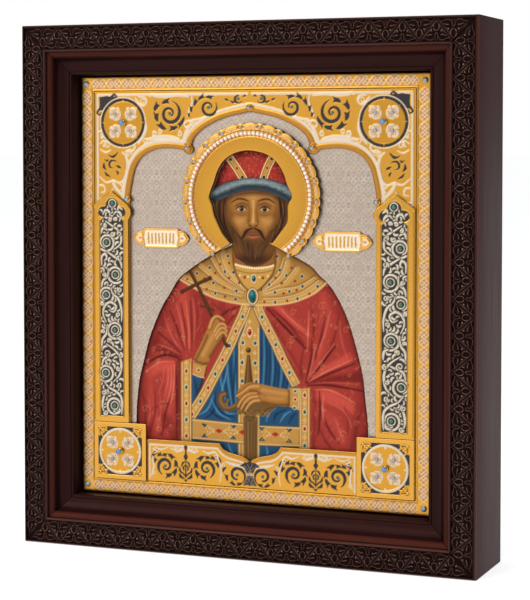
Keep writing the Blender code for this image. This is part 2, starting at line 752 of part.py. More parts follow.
def turned(name, finish, centre, base, profile, sides):
    """A small body turned about an axis to the front; the profile is (radius, height)."""
    solid = Solid(in_frame)
    rings = [solid.ring(circle(centre, radius, sides), base - height)
             for radius, height in profile[:-1]]
    solid.faces.append(rings[0][::-1])
    for one, two in zip(rings, rings[1:]):
        solid.bridge(one, two)
    tip = len(solid.points)
    solid.points.append(in_frame(*centre, base - profile[-1][1]))
    last = rings[-1]
    for i in range(sides):
        solid.faces.append([last[i], last[(i + 1) % sides], tip])
    solid.build(name, finish, smooth=True)


def stud(name, finish, centre, base, radius):
    """A pin with a round head that stands clear of the plate."""
    under = STUD_PIN_HEIGHT
    top = under + STUD_HEAD_HEIGHT
    profile = [(STUD_PIN_RADIUS, 0.0), (STUD_PIN_RADIUS, under), (radius, under),
               (radius * 0.92, under + STUD_HEAD_HEIGHT * 0.55), (0.0, top)]
    turned(name, finish, centre, base - GAP, profile, STUD_SIDES)


def studs(gold, blue):
    for i, side in enumerate((-1, 1)):
        word = "left" if side < 0 else "right"
        top = (side * (COVER_HALF_WIDTH - MEDALLION_SET), COVER_TOP - MEDALLION_SET)
        stud(f"medallion_stud_top_{word}", blue, top, ARCH_FRONT, MEDALLION_STUD_RADIUS)
        stud(f"medallion_stud_bottom_{word}", blue, square_centre(side),
             APPLIED_FRONT + SUNK_DEPTH, MEDALLION_STUD_RADIUS)
        x = side * (ICON_HALF_WIDTH - BORDER_STUD_INSET)
        flat = [(BORDER_STUD_RADIUS, 0.0), (BORDER_STUD_RADIUS, STUD_PIN_HEIGHT),
                (0.0, STUD_PIN_HEIGHT + STUD_HEAD_HEIGHT)]
        for level, z in (("top", ICON_TOP - BORDER_STUD_INSET),
                         ("bottom", ICON_BOTTOM + BORDER_STUD_INSET)):
            turned(f"border_stud_{level}_{word}", blue, (x, z), BORDER_FRONT - GAP, flat, STUD_SIDES)
        band = ARCH_FRONT - ARCH_BAND_RISE
        half_band = ARCH_BAND_WIDTH / 2
        knee = (side * (ARCH_HALF_SPAN * 0.497), ARCH_SPRING + ARCH_RISE * 0.565 + half_band)
        stud(f"arch_stud_knee_{word}", gold, knee, band, ARCH_STUD_RADIUS)
        foot = (side * (ARCH_HALF_SPAN + half_band), ARCH_SPRING - ARCH_STUD_RADIUS)
        stud(f"arch_stud_foot_{word}", gold, foot, APPLIED_FRONT, ARCH_STUD_RADIUS)
    apex = (0.0, ARCH_APEX + half_band)
    stud("arch_stud_top", gold, apex, band, ARCH_STUD_RADIUS)


def halo_stones(stone):
    profile = [(HALO_STONE_RADIUS, 0.0), (HALO_STONE_RADIUS, HALO_STONE_HEIGHT * 0.45),
               (0.0, HALO_STONE_HEIGHT)]
    for i, angle in enumerate(stone_angles()):
        centre = halo_point(HALO_RADIUS - HALO_STONE_INSET, angle)
        turned(f"halo_stone_{i + 1:02d}", stone, centre, HALO_FRONT - GAP, profile, 6)


def main():
    for piece in list(bpy.data.objects):
        bpy.data.objects.remove(piece, do_unlink=True)
    mahogany = material("dark_mahogany", colour(52, 32, 28), 0.42)
    lime = material("painted_lime_board", colour(150, 62, 46), 0.5)
    backing = material("backing_wood", colour(104, 78, 58), 0.6)
    gold = material("gilded_silver", colour(222, 168, 74), 0.3, 1.0)
    silver = material("silver_ground", colour(198, 184, 166), 0.4, 1.0)
    enamel = material("enamelled_silver", colour(150, 140, 125), 0.3, 0.6)
    blue = material("blue_enamel", colour(60, 78, 120), 0.15)
    pearl = material("pearl", colour(235, 225, 215), 0.25)
    stone = material("pale_stone", colour(150, 185, 200), 0.1)
    frame_rails(mahogany)
    boards(lime, backing)
    border_plate(gold)
    ground_plate(silver)
    arch_plate(enamel)
    for word, side in (("left", -1), ("right", 1)):
        column(f"column_{word}", gold, side)
        corner_square(f"corner_square_{word}", enamel, side)
        cartouche(f"cartouche_{word}", gold, side)
    halo(gold)
    pearl_string(pearl)
    studs(gold, blue)
    halo_stones(stone)


main()
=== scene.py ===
# %% [markdown]
# # A framed icon panel
#
# The real object is a painted wooden board that lies under a cover of gilded, silvered and
# enamelled metal, in a deep carved frame of dark wood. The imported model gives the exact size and
# place of each part. This lesson dresses those parts: first the tools, then the frame, the metal
# cover, the stones and pearls, and last the painting.

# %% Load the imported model
from math import cos, dist, hypot, pi, radians, sin, sqrt
import bmesh
import bpy
import numpy as np
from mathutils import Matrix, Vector


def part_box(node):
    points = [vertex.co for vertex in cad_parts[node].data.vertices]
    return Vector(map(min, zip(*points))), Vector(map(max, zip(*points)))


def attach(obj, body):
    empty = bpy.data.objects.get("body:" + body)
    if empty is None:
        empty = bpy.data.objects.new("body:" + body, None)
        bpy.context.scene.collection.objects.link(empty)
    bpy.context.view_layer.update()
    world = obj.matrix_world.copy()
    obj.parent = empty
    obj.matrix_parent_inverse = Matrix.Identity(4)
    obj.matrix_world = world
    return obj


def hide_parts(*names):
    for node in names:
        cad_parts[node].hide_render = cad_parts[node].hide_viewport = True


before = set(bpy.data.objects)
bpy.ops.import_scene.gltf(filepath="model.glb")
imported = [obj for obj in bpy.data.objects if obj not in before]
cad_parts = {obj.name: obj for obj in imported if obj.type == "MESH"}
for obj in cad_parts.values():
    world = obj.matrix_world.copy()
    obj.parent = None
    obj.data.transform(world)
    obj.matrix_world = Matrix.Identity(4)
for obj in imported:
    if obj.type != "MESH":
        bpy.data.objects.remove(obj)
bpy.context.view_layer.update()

print("pieces in the packed model:", len(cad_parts))

# %% [markdown]
# ## Camera, floor and light
#
# A product photograph is taken with a long lens, from a little to the right and almost level. The
# lens and the place below were worked out from the corners of the frame. The floor is one large
# pale sheet, and the light is what a studio gives: a bright room, a big soft box on the left and
# a second one on the right for the side of the frame.

# %% The camera and the studio
CAMERA_PLACE = Vector((0.53480, -1.31868, 0.31059))
CAMERA_TARGET = Vector((0.02099, -0.035, 0.24776))
LENS = 113.355
SHIFT = -0.12


def aimed(name, data, place, target):
    """A camera or lamp that stands at a place and looks at a target."""
    made = bpy.data.objects.new(name, data)
    made.location = place
    made.rotation_euler = (Vector(target) - Vector(place)).to_track_quat("-Z", "Y").to_euler()
    bpy.context.scene.collection.objects.link(made)
    return made


def studio_camera():
    data = bpy.data.cameras.new("camera")
    data.lens, data.sensor_width, data.shift_y = LENS, 36.0, SHIFT
    bpy.context.scene.camera = aimed("camera", data, CAMERA_PLACE, CAMERA_TARGET)


def soft_box(name, place, target, size, watts):
    data = bpy.data.lights.new(name, "AREA")
    data.shape, data.energy = "RECTANGLE", watts
    data.size, data.size_y = size
    aimed(name, data, place, target)


def studio_room():
    """A bright even room: it fills the shadows and it is what the gold mirrors."""
    world = bpy.data.worlds.new("studio")
    bpy.context.scene.world = world
    world.use_nodes = True
    nodes, links = world.node_tree.nodes, world.node_tree.links
    nodes.clear()
    mix = nodes.new("ShaderNodeMixShader")
    for socket, colour, strength in ((1, (0.97, 0.98, 1.0, 1.0), 0.40),
            (2, (1.0, 1.0, 1.0, 1.0), 1.0)):
        light = nodes.new("ShaderNodeBackground")
        light.inputs["Color"].default_value = colour
        light.inputs["Strength"].default_value = strength
        links.new(light.outputs[0], mix.inputs[socket])
    path = nodes.new("ShaderNodeLightPath")
    links.new(path.outputs["Is Camera Ray"], mix.inputs["Fac"])
    links.new(mix.outputs[0], nodes.new("ShaderNodeOutputWorld").inputs[0])


def floor():
    mesh = bpy.data.meshes.new("floor")
    reach = 40.0
    mesh.from_pydata(
        [(-reach, -reach, 0), (reach, -reach, 0), (reach, reach, 0), (-reach, reach, 0)], [],
        [(0, 1, 2, 3)])
    sheet = bpy.data.objects.new("floor", mesh)
    bpy.context.scene.collection.objects.link(sheet)
    paper = bpy.data.materials.new("floor_paper")
    paper.use_nodes = True
    shader = paper.node_tree.nodes["Principled BSDF"]
    for label, value in (("Base Color", (0.93, 0.93, 0.93, 1.0)), ("Roughness", 0.9),
            ("Specular IOR Level", 0.2), ("Emission Color", (1.0, 1.0, 1.0, 1.0)),
            ("Emission Strength", 0.62)):
        shader.inputs[label].default_value = value
    mesh.materials.append(paper)


studio_camera()
studio_room()
floor()
soft_box("key_left", (-1.3, -2.2, 1.5), (0.0, 0.0, 0.2), (1.6, 1.6), 30.0)
soft_box("fill_right", (2.2, -1.0, 0.9), (0.1, 0.0, 0.2), (1.2, 1.6), 6.0)
soft_box("top_light", (0.1, -0.7, 2.0), (0.0, 0.0, 0.1), (1.4, 1.0), 8.0)
bpy.context.scene.view_settings.view_transform = "Standard"
bpy.context.scene.view_settings.look = "None"
print("camera", round((CAMERA_TARGET - CAMERA_PLACE).length, 3), "m from the panel")

# %% [markdown]
# ## Measures
#
# Everything below is drawn in millimetres as seen from the front, x to the right and z up, with
# depths measured from the frame's front plane to the back. One small function turns such a place
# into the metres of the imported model.

# %% Millimetres on the front, metres in the model
MM = 0.001
DEPTH = 70.0
WIDTH, HEIGHT = 362.32, 400.0
ICON_X, ICON_LOW, ICON_HIGH = 140.46, 39.5, 360.5
COVER_X, COVER_LOW, COVER_HIGH = 129.46, 50.5, 349.5
BORDER_FRONT = 22.1
GROUND_FRONT = 23.5
ARCH_FRONT = 21.8
APPLIED_BACK, APPLIED_FRONT = 20.9, 19.8
HALO_BACK, HALO_FRONT = 23.2, 19.6
HALO_X, HALO_Z, HALO_R = 1.2, 269.4, 55.7


def place(x, z, depth):
    """Front-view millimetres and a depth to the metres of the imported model."""
    return (x * MM, (depth - DEPTH / 2) * MM, z * MM)


def points_of(x, z, depth):
    """The same for whole arrays."""
    return np.stack([x * MM, (depth - DEPTH / 2) * MM + 0 * x, z * MM], axis=-1)


def half_turn(points):
    """The same outline at -x, walked the other way."""
    return [(-x, z) for x, z in reversed(points)]


def ring_points(x, z, radius, count, start=0.0, end=360.0):
    """Points along a circle; angles in degrees from the right, counter-clockwise."""
    turns = np.radians(np.linspace(start, end, count + 1))
    if abs(end - start) >= 360:
        turns = turns[:-1]
    return [(x + radius * cos(t), z + radius * sin(t)) for t in turns]


def smooth(points, parts=6):
    """A curve through all the points (Catmull-Rom), as a longer list of points."""
    p = np.array([points[0]] + list(points) + [points[-1]], float)
    t = np.linspace(0, 1, parts, endpoint=False)[:, None]
    out = []
    for a, b, c, d in zip(p, p[1:], p[2:], p[3:]):
        out.append(0.5 * (
            2 * b + (c - a) * t + (2 * a - 5 * b + 4 * c - d) * t**2 + (
            3 * b - a - 3 * c + d) * t**3))
    return [tuple(q) for q in np.vstack(out + [p[-1:]])]


low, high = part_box("icon_board")
print("icon board:", round((high[0] - low[0]) / MM, 1), "x", round((high[2] - low[2]) / MM, 1),
    "mm")

# %% [markdown]
# ## A worked sheet
#
# Chased metal, enamel and paint have one thing in common: a flat sheet with a height, a colour
# and a finish that change from place to place. They could be drawn with image textures, but then
# the shapes would live in a picture and not in the part. Here a sheet is a fine grid of points.
# Strokes, discs and areas are laid on it as a chaser or painter would, and each one may raise the
# metal, colour it and make it matt or bright. Edge points slide onto the true outline, so a cut
# edge stays smooth.

# %% Distances from lines and outlines
def to_segment(x, z, a, b):
    """Distance of each point from a segment, and how far along the segment it falls."""
    ax, az = a
    dx, dz = b[0] - ax, b[1] - az
    size = dx * dx + dz * dz
    t = np.clip(((x - ax) * dx + (z - az) * dz) / size, 0, 1) if size else np.zeros_like(x)
    return np.hypot(x - ax - t * dx, z - az - t * dz), t


def signed_distance(x, z, outline):
    """Distance of each point from a closed outline, negative inside it."""
    away = np.full(x.shape, 1e9)
    inside = np.zeros(x.shape, bool)
    for (ax, az), (bx, bz) in zip(outline, outline[1:] + outline[:1]):
        away = np.minimum(away, to_segment(x, z, (ax, az), (bx, bz))[0])
        if az != bz:
            crosses = (az > z) != (bz > z)
            inside ^= crosses & (x < (bx - ax) * (z - az) / (bz - az) + ax)
    return np.where(inside, -away, away)


def share_of(gap, soft):
    """1 well inside, 0 well outside, and a soft edge between; gap is negative inside."""
    return np.clip(0.5 - gap / soft, 0, 1)


print("distance check:",
    signed_distance(np.array([0.0]), np.array([0.0]), [(-1, -1), (1, -1), (1, 1), (-1, 1)])[0])

# %% Finishes: a screen colour, how metallic it is and how rough
def linear(values):
    """Screen colours from 0 to 1 as the renderer's light values."""
    values = np.clip(values, 0, 1)
    return np.where(values <= 0.04045, values / 12.92, ((values + 0.055) / 1.055) ** 2.4)


GOLD = ((206, 150, 60), 1.0, 0.30)
GOLD_LIGHT = ((220, 168, 84), 1.0, 0.26)
GOLD_DARK = ((146, 92, 36), 1.0, 0.42)
SILVER = ((172, 156, 141), 1.0, 0.36)
PINK_SILVER = ((180, 135, 94), 0.8, 0.40)
WHITE = ((214, 196, 172), 0.3, 0.36)
CREAM = ((208, 194, 170), 0.3, 0.36)
BLACK = ((40, 35, 34), 0.0, 0.36)


# %% The sheet itself
class Sheet:
    """A grid of points with height, colour, metal and roughness, from xs and zs in millimetres."""

    def __init__(self, xs, zs, finish):
        self.xs, self.zs = np.asarray(xs, float), np.asarray(zs, float)
        self.x, self.z = np.meshgrid(self.xs, self.zs)
        self.height = np.zeros(self.x.shape)
        self.colour = np.tile(np.array(finish[0]) / 255.0, self.x.shape + (1,))
        self.metal = np.full(self.x.shape, float(finish[1]))
        self.rough = np.full(self.x.shape, float(finish[2]))
        self.cells = np.ones((len(self.zs) - 1, len(self.xs) - 1), bool)

    def corners(self, cells):
        """The points that touch any of these cells."""
        wide = np.pad(cells, 1)
        return wide[:-1, :-1] | wide[:-1, 1:] | wide[1:, :-1] | wide[1:, 1:]

    def cut(self, outline, inner=True):
        """Keep what is inside the outline (or outside it) and slide the edge points onto it."""
        away = signed_distance(self.x, self.z, outline) * (1 if inner else -1)
        middle = (away[:-1, :-1] + away[1:, :-1] + away[:-1, 1:] + away[1:, 1:]) / 4
        self.cells &= middle < 0
        slope_z, slope_x = np.gradient(away, self.zs, self.xs)
        step = max(np.diff(self.xs).min(), np.diff(self.zs).min())
        edge = self.corners(middle < 0) & self.corners(middle >= 0) & (np.abs(away) < 1.2 * step)
        self.x[edge] -= (away * slope_x)[edge]
        self.z[edge] -= (away * slope_z)[edge]

    def near(self, x0, x1, z0, z1, pad=0.0):
        """The block of grid points around a box, and a pad around that."""
        j = np.searchsorted(self.xs, [x0 - pad, x1 + pad]) + (-1, 1)
        i = np.searchsorted(self.zs, [z0 - pad, z1 + pad]) + (-1, 1)
        i, j = np.maximum(i, 0), np.maximum(j, 0)
        return slice(i[0], i[1]), slice(j[0], j[1])

    def lay(self, spot, share, finish=None, rise=0.0):
        """Lay a finish on a block of points, by a share from 0 to 1 at each."""
        if finish:
            self.colour[spot] += (np.array(finish[0]) / 255.0 - self.colour[spot]) * share[...,
                None]
            if len(finish) > 1:
                self.metal[spot] += (finish[1] - self.metal[spot]) * share
                self.rough[spot] += (finish[2] - self.rough[spot]) * share
        self.height[spot] += rise * share

    def area(self, outline, finish=None, rise=0.0, soft=0.5, strength=1.0):
        outline = list(outline)
        low, high = np.min(outline, axis=0), np.max(outline, axis=0)
        spot = self.near(low[0], high[0], low[1], high[1], soft)
        gap = signed_distance(self.x[spot], self.z[spot], outline)
        self.lay(spot, share_of(gap, soft) * strength, finish, rise)

    def stroke(self, points, width, finish=None, rise=0.0, soft=0.5, strength=1.0, round_top=False):
        """A line of given width, or of widths spread evenly from its start to its end."""
        p = np.array(points, float)
        ends = np.atleast_1d(np.array(width, float))
        widths = np.interp(np.linspace(0, 1, len(p)), np.linspace(0, 1, len(ends)), ends)
        low, high = p.min(axis=0), p.max(axis=0)
        spot = self.near(low[0], high[0], low[1], high[1], widths.max() / 2 + soft)
        x, z = self.x[spot], self.z[spot]
        gap = np.full(x.shape, 1e9)
        for k in range(len(p) - 1):
            away, t = to_segment(x, z, p[k], p[k + 1])
            gap = np.minimum(gap, away - (widths[k] * (1 - t) + widths[k + 1] * t) / 2)
        share = share_of(gap, soft) * strength
        if round_top:
            dome = np.sqrt(np.clip(-gap / (widths.max() / 2), 0, 1))
            self.lay(spot, share, finish)
            self.height[spot] += rise * dome
        else:
            self.lay(spot, share, finish, rise)

    def disc(self, x, z, radius, finish=None, rise=0.0, soft=0.5, strength=1.0, stretch=1.0,
            dome=False):
        """A filled circle, or an upright oval when stretch is above 1."""
        spot = self.near(x - radius - soft, x + radius + soft, z - radius * stretch - soft,
            z + radius * stretch + soft)
        away = np.hypot(self.x[spot] - x, (self.z[spot] - z) / stretch)
        share = share_of(away - radius, soft) * strength
        if dome:
            self.lay(spot, share, finish)
            self.height[spot] += rise * np.sqrt(np.clip(1 - (away / radius) ** 2, 0, 1))
        else:
            self.lay(spot, share, finish, rise)

    def ring(self, x, z, radius, width, finish=None, rise=0.0, soft=0.5, strength=1.0):
        reach = radius + width / 2 + soft
        spot = self.near(x - reach, x + reach, z - reach, z + reach)
        away = np.abs(np.hypot(self.x[spot] - x, self.z[spot] - z) - radius)
        self.lay(spot, share_of(away - width / 2, soft) * strength, finish, rise)

    def piece(self, name, front, back, material, wall_shade=0.4):
        """Make the sheet a closed mesh: worked front, walls round each edge darkened as painted
        shade, a flat back.
        """
        used = self.corners(self.cells)
        number = np.full(used.shape, -1)
        number[used] = np.arange(used.sum())
        spots = points_of(self.x[used], self.z[used], front - self.height[used])
        a, b = number[:-1, :-1][self.cells], number[:-1, 1:][self.cells]
        c, d = number[1:, 1:][self.cells], number[1:, :-1][self.cells]
        quads = np.stack([a, b, c, d], axis=-1)
        sides = np.vstack([quads[:, [0, 1]], quads[:, [1, 2]], quads[:, [2, 3]], quads[:, [3, 0]]])
        key = sides.min(axis=1) * len(spots) + sides.max(axis=1)
        _, first, count = np.unique(key, return_index=True, return_counts=True)
        rim = sides[first[count == 1]]
        rim_points = np.unique(rim)
        low = np.full(len(spots), -1)
        low[rim_points] = len(spots) + np.arange(len(rim_points))
        under = spots[rim_points].copy()
        under[:, 1] = (back - DEPTH / 2) * MM
        walls = np.stack([rim[:, 1], rim[:, 0], low[rim[:, 0]], low[rim[:, 1]]], axis=-1)
        mesh = bpy.data.meshes.new(name)
        faces = np.vstack([quads, walls])
        mesh.from_pydata(np.vstack([spots, under]).tolist(), [], faces.tolist())
        for label, grid in (("metal", self.metal), ("rough", self.rough)):
            layer = mesh.attributes.new(label, "FLOAT", "POINT")
            layer.data.foreach_set("value", np.concatenate([grid[used], grid[used][rim_points]]))
        shape = bmesh.new()
        shape.from_mesh(mesh)
        shape.faces.ensure_lookup_table()
        for i, face in enumerate(shape.faces):
            face.smooth = i < len(quads)
        open_edges = [e for e in shape.edges if e.is_boundary]
        bmesh.ops.triangle_fill(shape, use_beauty=False, edges=open_edges)
        bmesh.ops.recalc_face_normals(shape, faces=shape.faces)
        shape.to_mesh(mesh)
        shape.free()
        light = linear(np.concatenate([self.colour[used], self.colour[used][rim_points]]))
        corner_point = np.zeros(len(mesh.loops), int)
        mesh.loops.foreach_get("vertex_index", corner_point)
        sizes = np.zeros(len(mesh.polygons), int)
        mesh.polygons.foreach_get("loop_total", sizes)
        # Wall faces keep only this share of the colour: painted shade on every cut edge.
        shade = np.repeat(np.where(np.arange(len(sizes)) < len(quads), 1.0, wall_shade), sizes)
        colours = np.concatenate([light[corner_point] * shade[:, None], np.ones((len(shade), 1))],
            axis=1)
        tint = mesh.attributes.new("tint", "FLOAT_COLOR", "CORNER")
        tint.data.foreach_set("color", colours.ravel())
        mesh.materials.append(material)
        return finish_piece(mesh, name)


def finish_piece(mesh, name, body="root"):
    """Put a finished mesh in the scene at the origin, riding on its body."""
    piece = bpy.data.objects.new(name, mesh)
    bpy.context.scene.collection.objects.link(piece)
    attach(piece, body)
    print(f"{name}: {len(mesh.vertices)} points, {len(mesh.polygons)} faces")
    return piece

# %% [markdown]
# ## Materials
#
# The frame is mahogany under a thin dark varnish: long grain, slightly redder where hands wore
# it. The cover is metal, so its colour and gloss come from the sheet's own values, and fine noise
# breaks them up as tool marks and tarnish do. Each pattern reads Object coordinates, so it stays
# on the piece.

# %% Small helpers for node materials
def node(tree, kind, place_at, **settings):
    made = tree.nodes.new(kind)
    made.location = place_at
    for key, value in settings.items():
        if hasattr(made, key):
            setattr(made, key, value)
        else:
            made.inputs[key].default_value = value
    return made


def new_material(name):
    made = bpy.data.materials.new(name)
    made.use_nodes = True
    return made, made.node_tree, made.node_tree.nodes["Principled BSDF"]


def noise_on(tree, scale, detail, stretch=(1, 1, 1)):
    """Noise on Object coordinates, stretched along the axes."""
    where = node(tree, "ShaderNodeTexCoord", (-1100, 0))
    fit = node(tree, "ShaderNodeMapping", (-900, 0))
    fit.inputs["Scale"].default_value = stretch
    grain = node(tree, "ShaderNodeTexNoise", (-700, 0))
    grain.inputs["Scale"].default_value = scale
    grain.inputs["Detail"].default_value = detail
    tree.links.new(where.outputs["Object"], fit.inputs["Vector"])
    tree.links.new(fit.outputs["Vector"], grain.inputs["Vector"])
    return grain


def graded(tree, source, low, high, socket):
    """Map a 0..1 value to low..high and feed it to a socket."""
    span = node(tree, "ShaderNodeMapRange", (-450, -200))
    span.inputs["To Min"].default_value = low
    span.inputs["To Max"].default_value = high
    tree.links.new(source, span.inputs["Value"])
    tree.links.new(span.outputs["Result"], socket)


def tinted(tree, shader, source, low, high):
    """The sheet's own colour, multiplied by a noise from low to high."""
    own = node(tree, "ShaderNodeAttribute", (-700, 300), attribute_name="tint")
    mix = node(tree, "ShaderNodeMix", (-250, 300), data_type="RGBA", blend_type="MULTIPLY")
    mix.inputs["Factor"].default_value = 1.0
    tree.links.new(own.outputs["Color"], mix.inputs["A"])
    graded(tree, source, low, high, mix.inputs["B"])
    tree.links.new(mix.outputs["Result"], shader.inputs["Base Color"])


def bumped(tree, shader, source, strength, distance):
    bump = node(tree, "ShaderNodeBump", (-250, -400))
    bump.inputs["Strength"].default_value = strength
    bump.inputs["Distance"].default_value = distance
    tree.links.new(source, bump.inputs["Height"])
    tree.links.new(bump.outputs["Normal"], shader.inputs["Normal"])


# %% Mahogany, chased metal and paint
def mahogany(name, stretch, level=0.1):
    made, tree, shader = new_material(name)
    grain = noise_on(tree, 260.0, 6.0, stretch)
    tinted(tree, shader, grain.outputs["Fac"], 0.62, 1.4)
    graded(tree, grain.outputs["Fac"], 0.26, 0.46, shader.inputs["Roughness"])
    shader.inputs["Specular IOR Level"].default_value = level
    shader.inputs["Specular Tint"].default_value = (1.0, 0.5, 0.42, 1.0)
    bumped(tree, shader, grain.outputs["Fac"], 0.25, 0.0004)
    return made


def worked(name, scale, low, high, bump, level=0.5):
    """Metal, enamel or paint whose colour and finish come from the sheet."""
    made, tree, shader = new_material(name)
    grain = noise_on(tree, scale, 5.0)
    tinted(tree, shader, grain.outputs["Fac"], low, high)
    for label, socket in (("metal", "Metallic"), ("rough", "Roughness")):
        own = node(tree, "ShaderNodeAttribute", (-450, -100), attribute_name=label)
        tree.links.new(own.outputs["Fac"], shader.inputs[socket])
    shader.inputs["Specular IOR Level"].default_value = level
    bumped(tree, shader, grain.outputs["Fac"], bump, 0.0002)
    return made


WOOD_ACROSS = mahogany("mahogany_across", (0.05, 1.0, 1.0))
WOOD_UPRIGHT = mahogany("mahogany_upright", (1.0, 1.0, 0.05))
SIDE_ACROSS = mahogany("oiled_mahogany_across", (0.05, 1.0, 1.0), 0.014)
SIDE_UPRIGHT = mahogany("oiled_mahogany_upright", (1.0, 1.0, 0.05), 0.014)
CHASED = worked("chased_metal", 700.0, 0.93, 1.07, 0.10, 0.3)
PAINT = worked("oil_paint", 900.0, 0.9, 1.1, 0.12, 0.1)
print("materials:", [m.name for m in bpy.data.materials])

# %% [markdown]
# ## The carved frame
#
# A frame rail is a moulding planed to one section and mitred at both ends. Its flat front band is
# carved with a zigzag ribbon; in each triangle hang a loop and two dots from the tip, and leaves
# fan out along the base. The section is swept as a plain mesh. The carving is one triangle drawn
# on a small sheet and then looked up all along the rail, because every triangle of the rail is
# alike.

# %% One carved triangle, drawn on its own small sheet
TRIANGLE_HEIGHT = 15.7
CARVED = ((19, 9, 8), 0.0, 0.3)
# Pale pink for the crests of the carving: a painted highlight, with some wear.
EDGE_HIGHLIGHT = ((212, 156, 134), 0.0, 0.3)
GROUND_CUT = ((8, 4, 4), 0.0, 0.5)
tile = Sheet(np.arange(-17, 17.05, 0.1), np.arange(0, 15.75, 0.1), GROUND_CUT)


def carved_line(points, width, rise, light=0.75):
    """A rounded carved stem with a lighter ridge line: a painted highlight, with some wear."""
    curve = smooth(points, 6)
    tile.stroke(curve, width, CARVED, rise, 0.3, round_top=True)
    # The thin pale line along the crest is a painted highlight.
    tile.stroke(curve, 0.22, EDGE_HIGHLIGHT, 0.0, 0.3, light)


for side in (-1, 1):
    def arm(*points):
        return [(side * x, z) for x, z in points]
    carved_line(arm((0, 1.6), (1.5, 3.2), (2.2, 5.6), (1.6, 7.6), (0, 8.5)), 1.0, 1.3, 0.95)
    tile.disc(side * 3.7, 8.4, 0.85, CARVED, 1.2, dome=True)
    # A small pale spot on each dot: a painted highlight.
    tile.disc(side * 3.7, 8.5, 0.5, ((236, 204, 190), 0.0, 0.3), 0.0, 0.5, 0.95)
    leaf = arm((2.4, 10.8), (4.2, 10.2), (6.6, 11.0), (7.8, 12.4), (6.2, 12.3), (4.8, 12.9),
        (3.0, 12.4))
    tile.area(smooth(leaf + leaf[:1], 3), CARVED, 1.0, 0.4)
    carved_line(arm((3.2, 11.4), (5.0, 11.3), (7.4, 12.2)), 0.4, 0.3, 0.8)
    carved_line(arm((3.4, 8.6), (5.6, 9.3), (8.2, 10.9), (9.4, 12.4)), 0.5, 0.8, 0.6)
    carved_line(
        arm((0.0, 9.6), (1.1, 11.4), (1.0, 13.4), (2.6, 14.9), (5.4, 15.0), (8.0, 14.0),
        (11.0, 13.6)), 0.8, 1.1)
    carved_line(arm((3.4, 6.6), (4.8, 8.2), (7.4, 9.3), (9.6, 11.2)), 0.6, 0.8, 0.5)
    carved_line(arm((0.0, 15.2), (1.4, 14.2), (2.2, 13.4)), 0.6, 0.8, 0.6)
print("triangle sheet:", tile.x.shape, "deepest", tile.height.min(), "highest",
    round(tile.height.max(), 2))


def look_up(grid, x, z):
    """Read a value of the triangle sheet between its points."""
    j = np.clip((x - tile.xs[0]) / 0.1, 0, len(tile.xs) - 1.001)
    i = np.clip(z / 0.1, 0, len(tile.zs) - 1.001)
    i0, j0 = i.astype(int), j.astype(int)
    fi, fj = i - i0, j - j0
    if grid.ndim == 3:
        fi, fj = fi[..., None], fj[..., None]
    return ((grid[i0, j0] * (1 - fj) + grid[i0, j0 + 1] * fj) * (1 - fi) + (
        grid[i0 + 1, j0] * (1 - fj) + grid[i0 + 1, j0 + 1] * fj) * fi)


# %% The section of a rail, and its carved band
OUTER_LINE, INNER_LINE = 2.4, 18.1
BAND_START, BAND_END = 1.6, 18.9
SIDE_WOOD, WORN, TOP_WOOD = (52, 23, 23), (64, 33, 24), (16, 8, 7)
FILLET_WOOD, STRIP_WOOD, COVE_WOOD, LIP_WOOD = (66, 40, 35), (58, 26, 20), (33, 15, 14), (34, 17,
    14)
SECTION = [(1.0, 70.0, SIDE_WOOD), (0.3, 69.8, SIDE_WOOD), (0.0, 69.2, SIDE_WOOD),
    (0.0, 4.6, SIDE_WOOD), (0.05, 3.3, WORN), (0.3, 1.7, WORN), (0.75, 0.7, WORN),
    (1.25, 0.2, WORN), (1.6, 0.0, TOP_WOOD), (1.6, 2.4, TOP_WOOD), (18.9, 2.4, TOP_WOOD),
    (18.9, 0.05, TOP_WOOD), (19.3, 0.0, FILLET_WOOD), (19.9, 0.1, FILLET_WOOD),
    (20.3, 0.5, FILLET_WOOD), (20.7, 1.6, COVE_WOOD), (20.9, 3.0, COVE_WOOD),
    (21.3, 3.1, STRIP_WOOD), (23.0, 3.3, STRIP_WOOD), (24.4, 3.8, STRIP_WOOD),
    (25.1, 4.5, STRIP_WOOD)]
for step in range(1, 11):
    turn = pi / 2 * step / 10
    SECTION.append((25.1 + 10.2 * (1 - cos(turn)), 4.5 + 6.8 * sin(turn), COVE_WOOD))
SECTION += [(35.4, 12.0, COVE_WOOD), (36.2, 12.0, COVE_WOOD), (36.2, 11.05, LIP_WOOD),
    (36.4, 11.0, LIP_WOOD), (37.5, 11.0, LIP_WOOD), (38.0, 11.5, LIP_WOOD), (38.0, 53.0, COVE_WOOD),
    (30.0, 53.0, COVE_WOOD), (30.0, 70.0, SIDE_WOOD)]


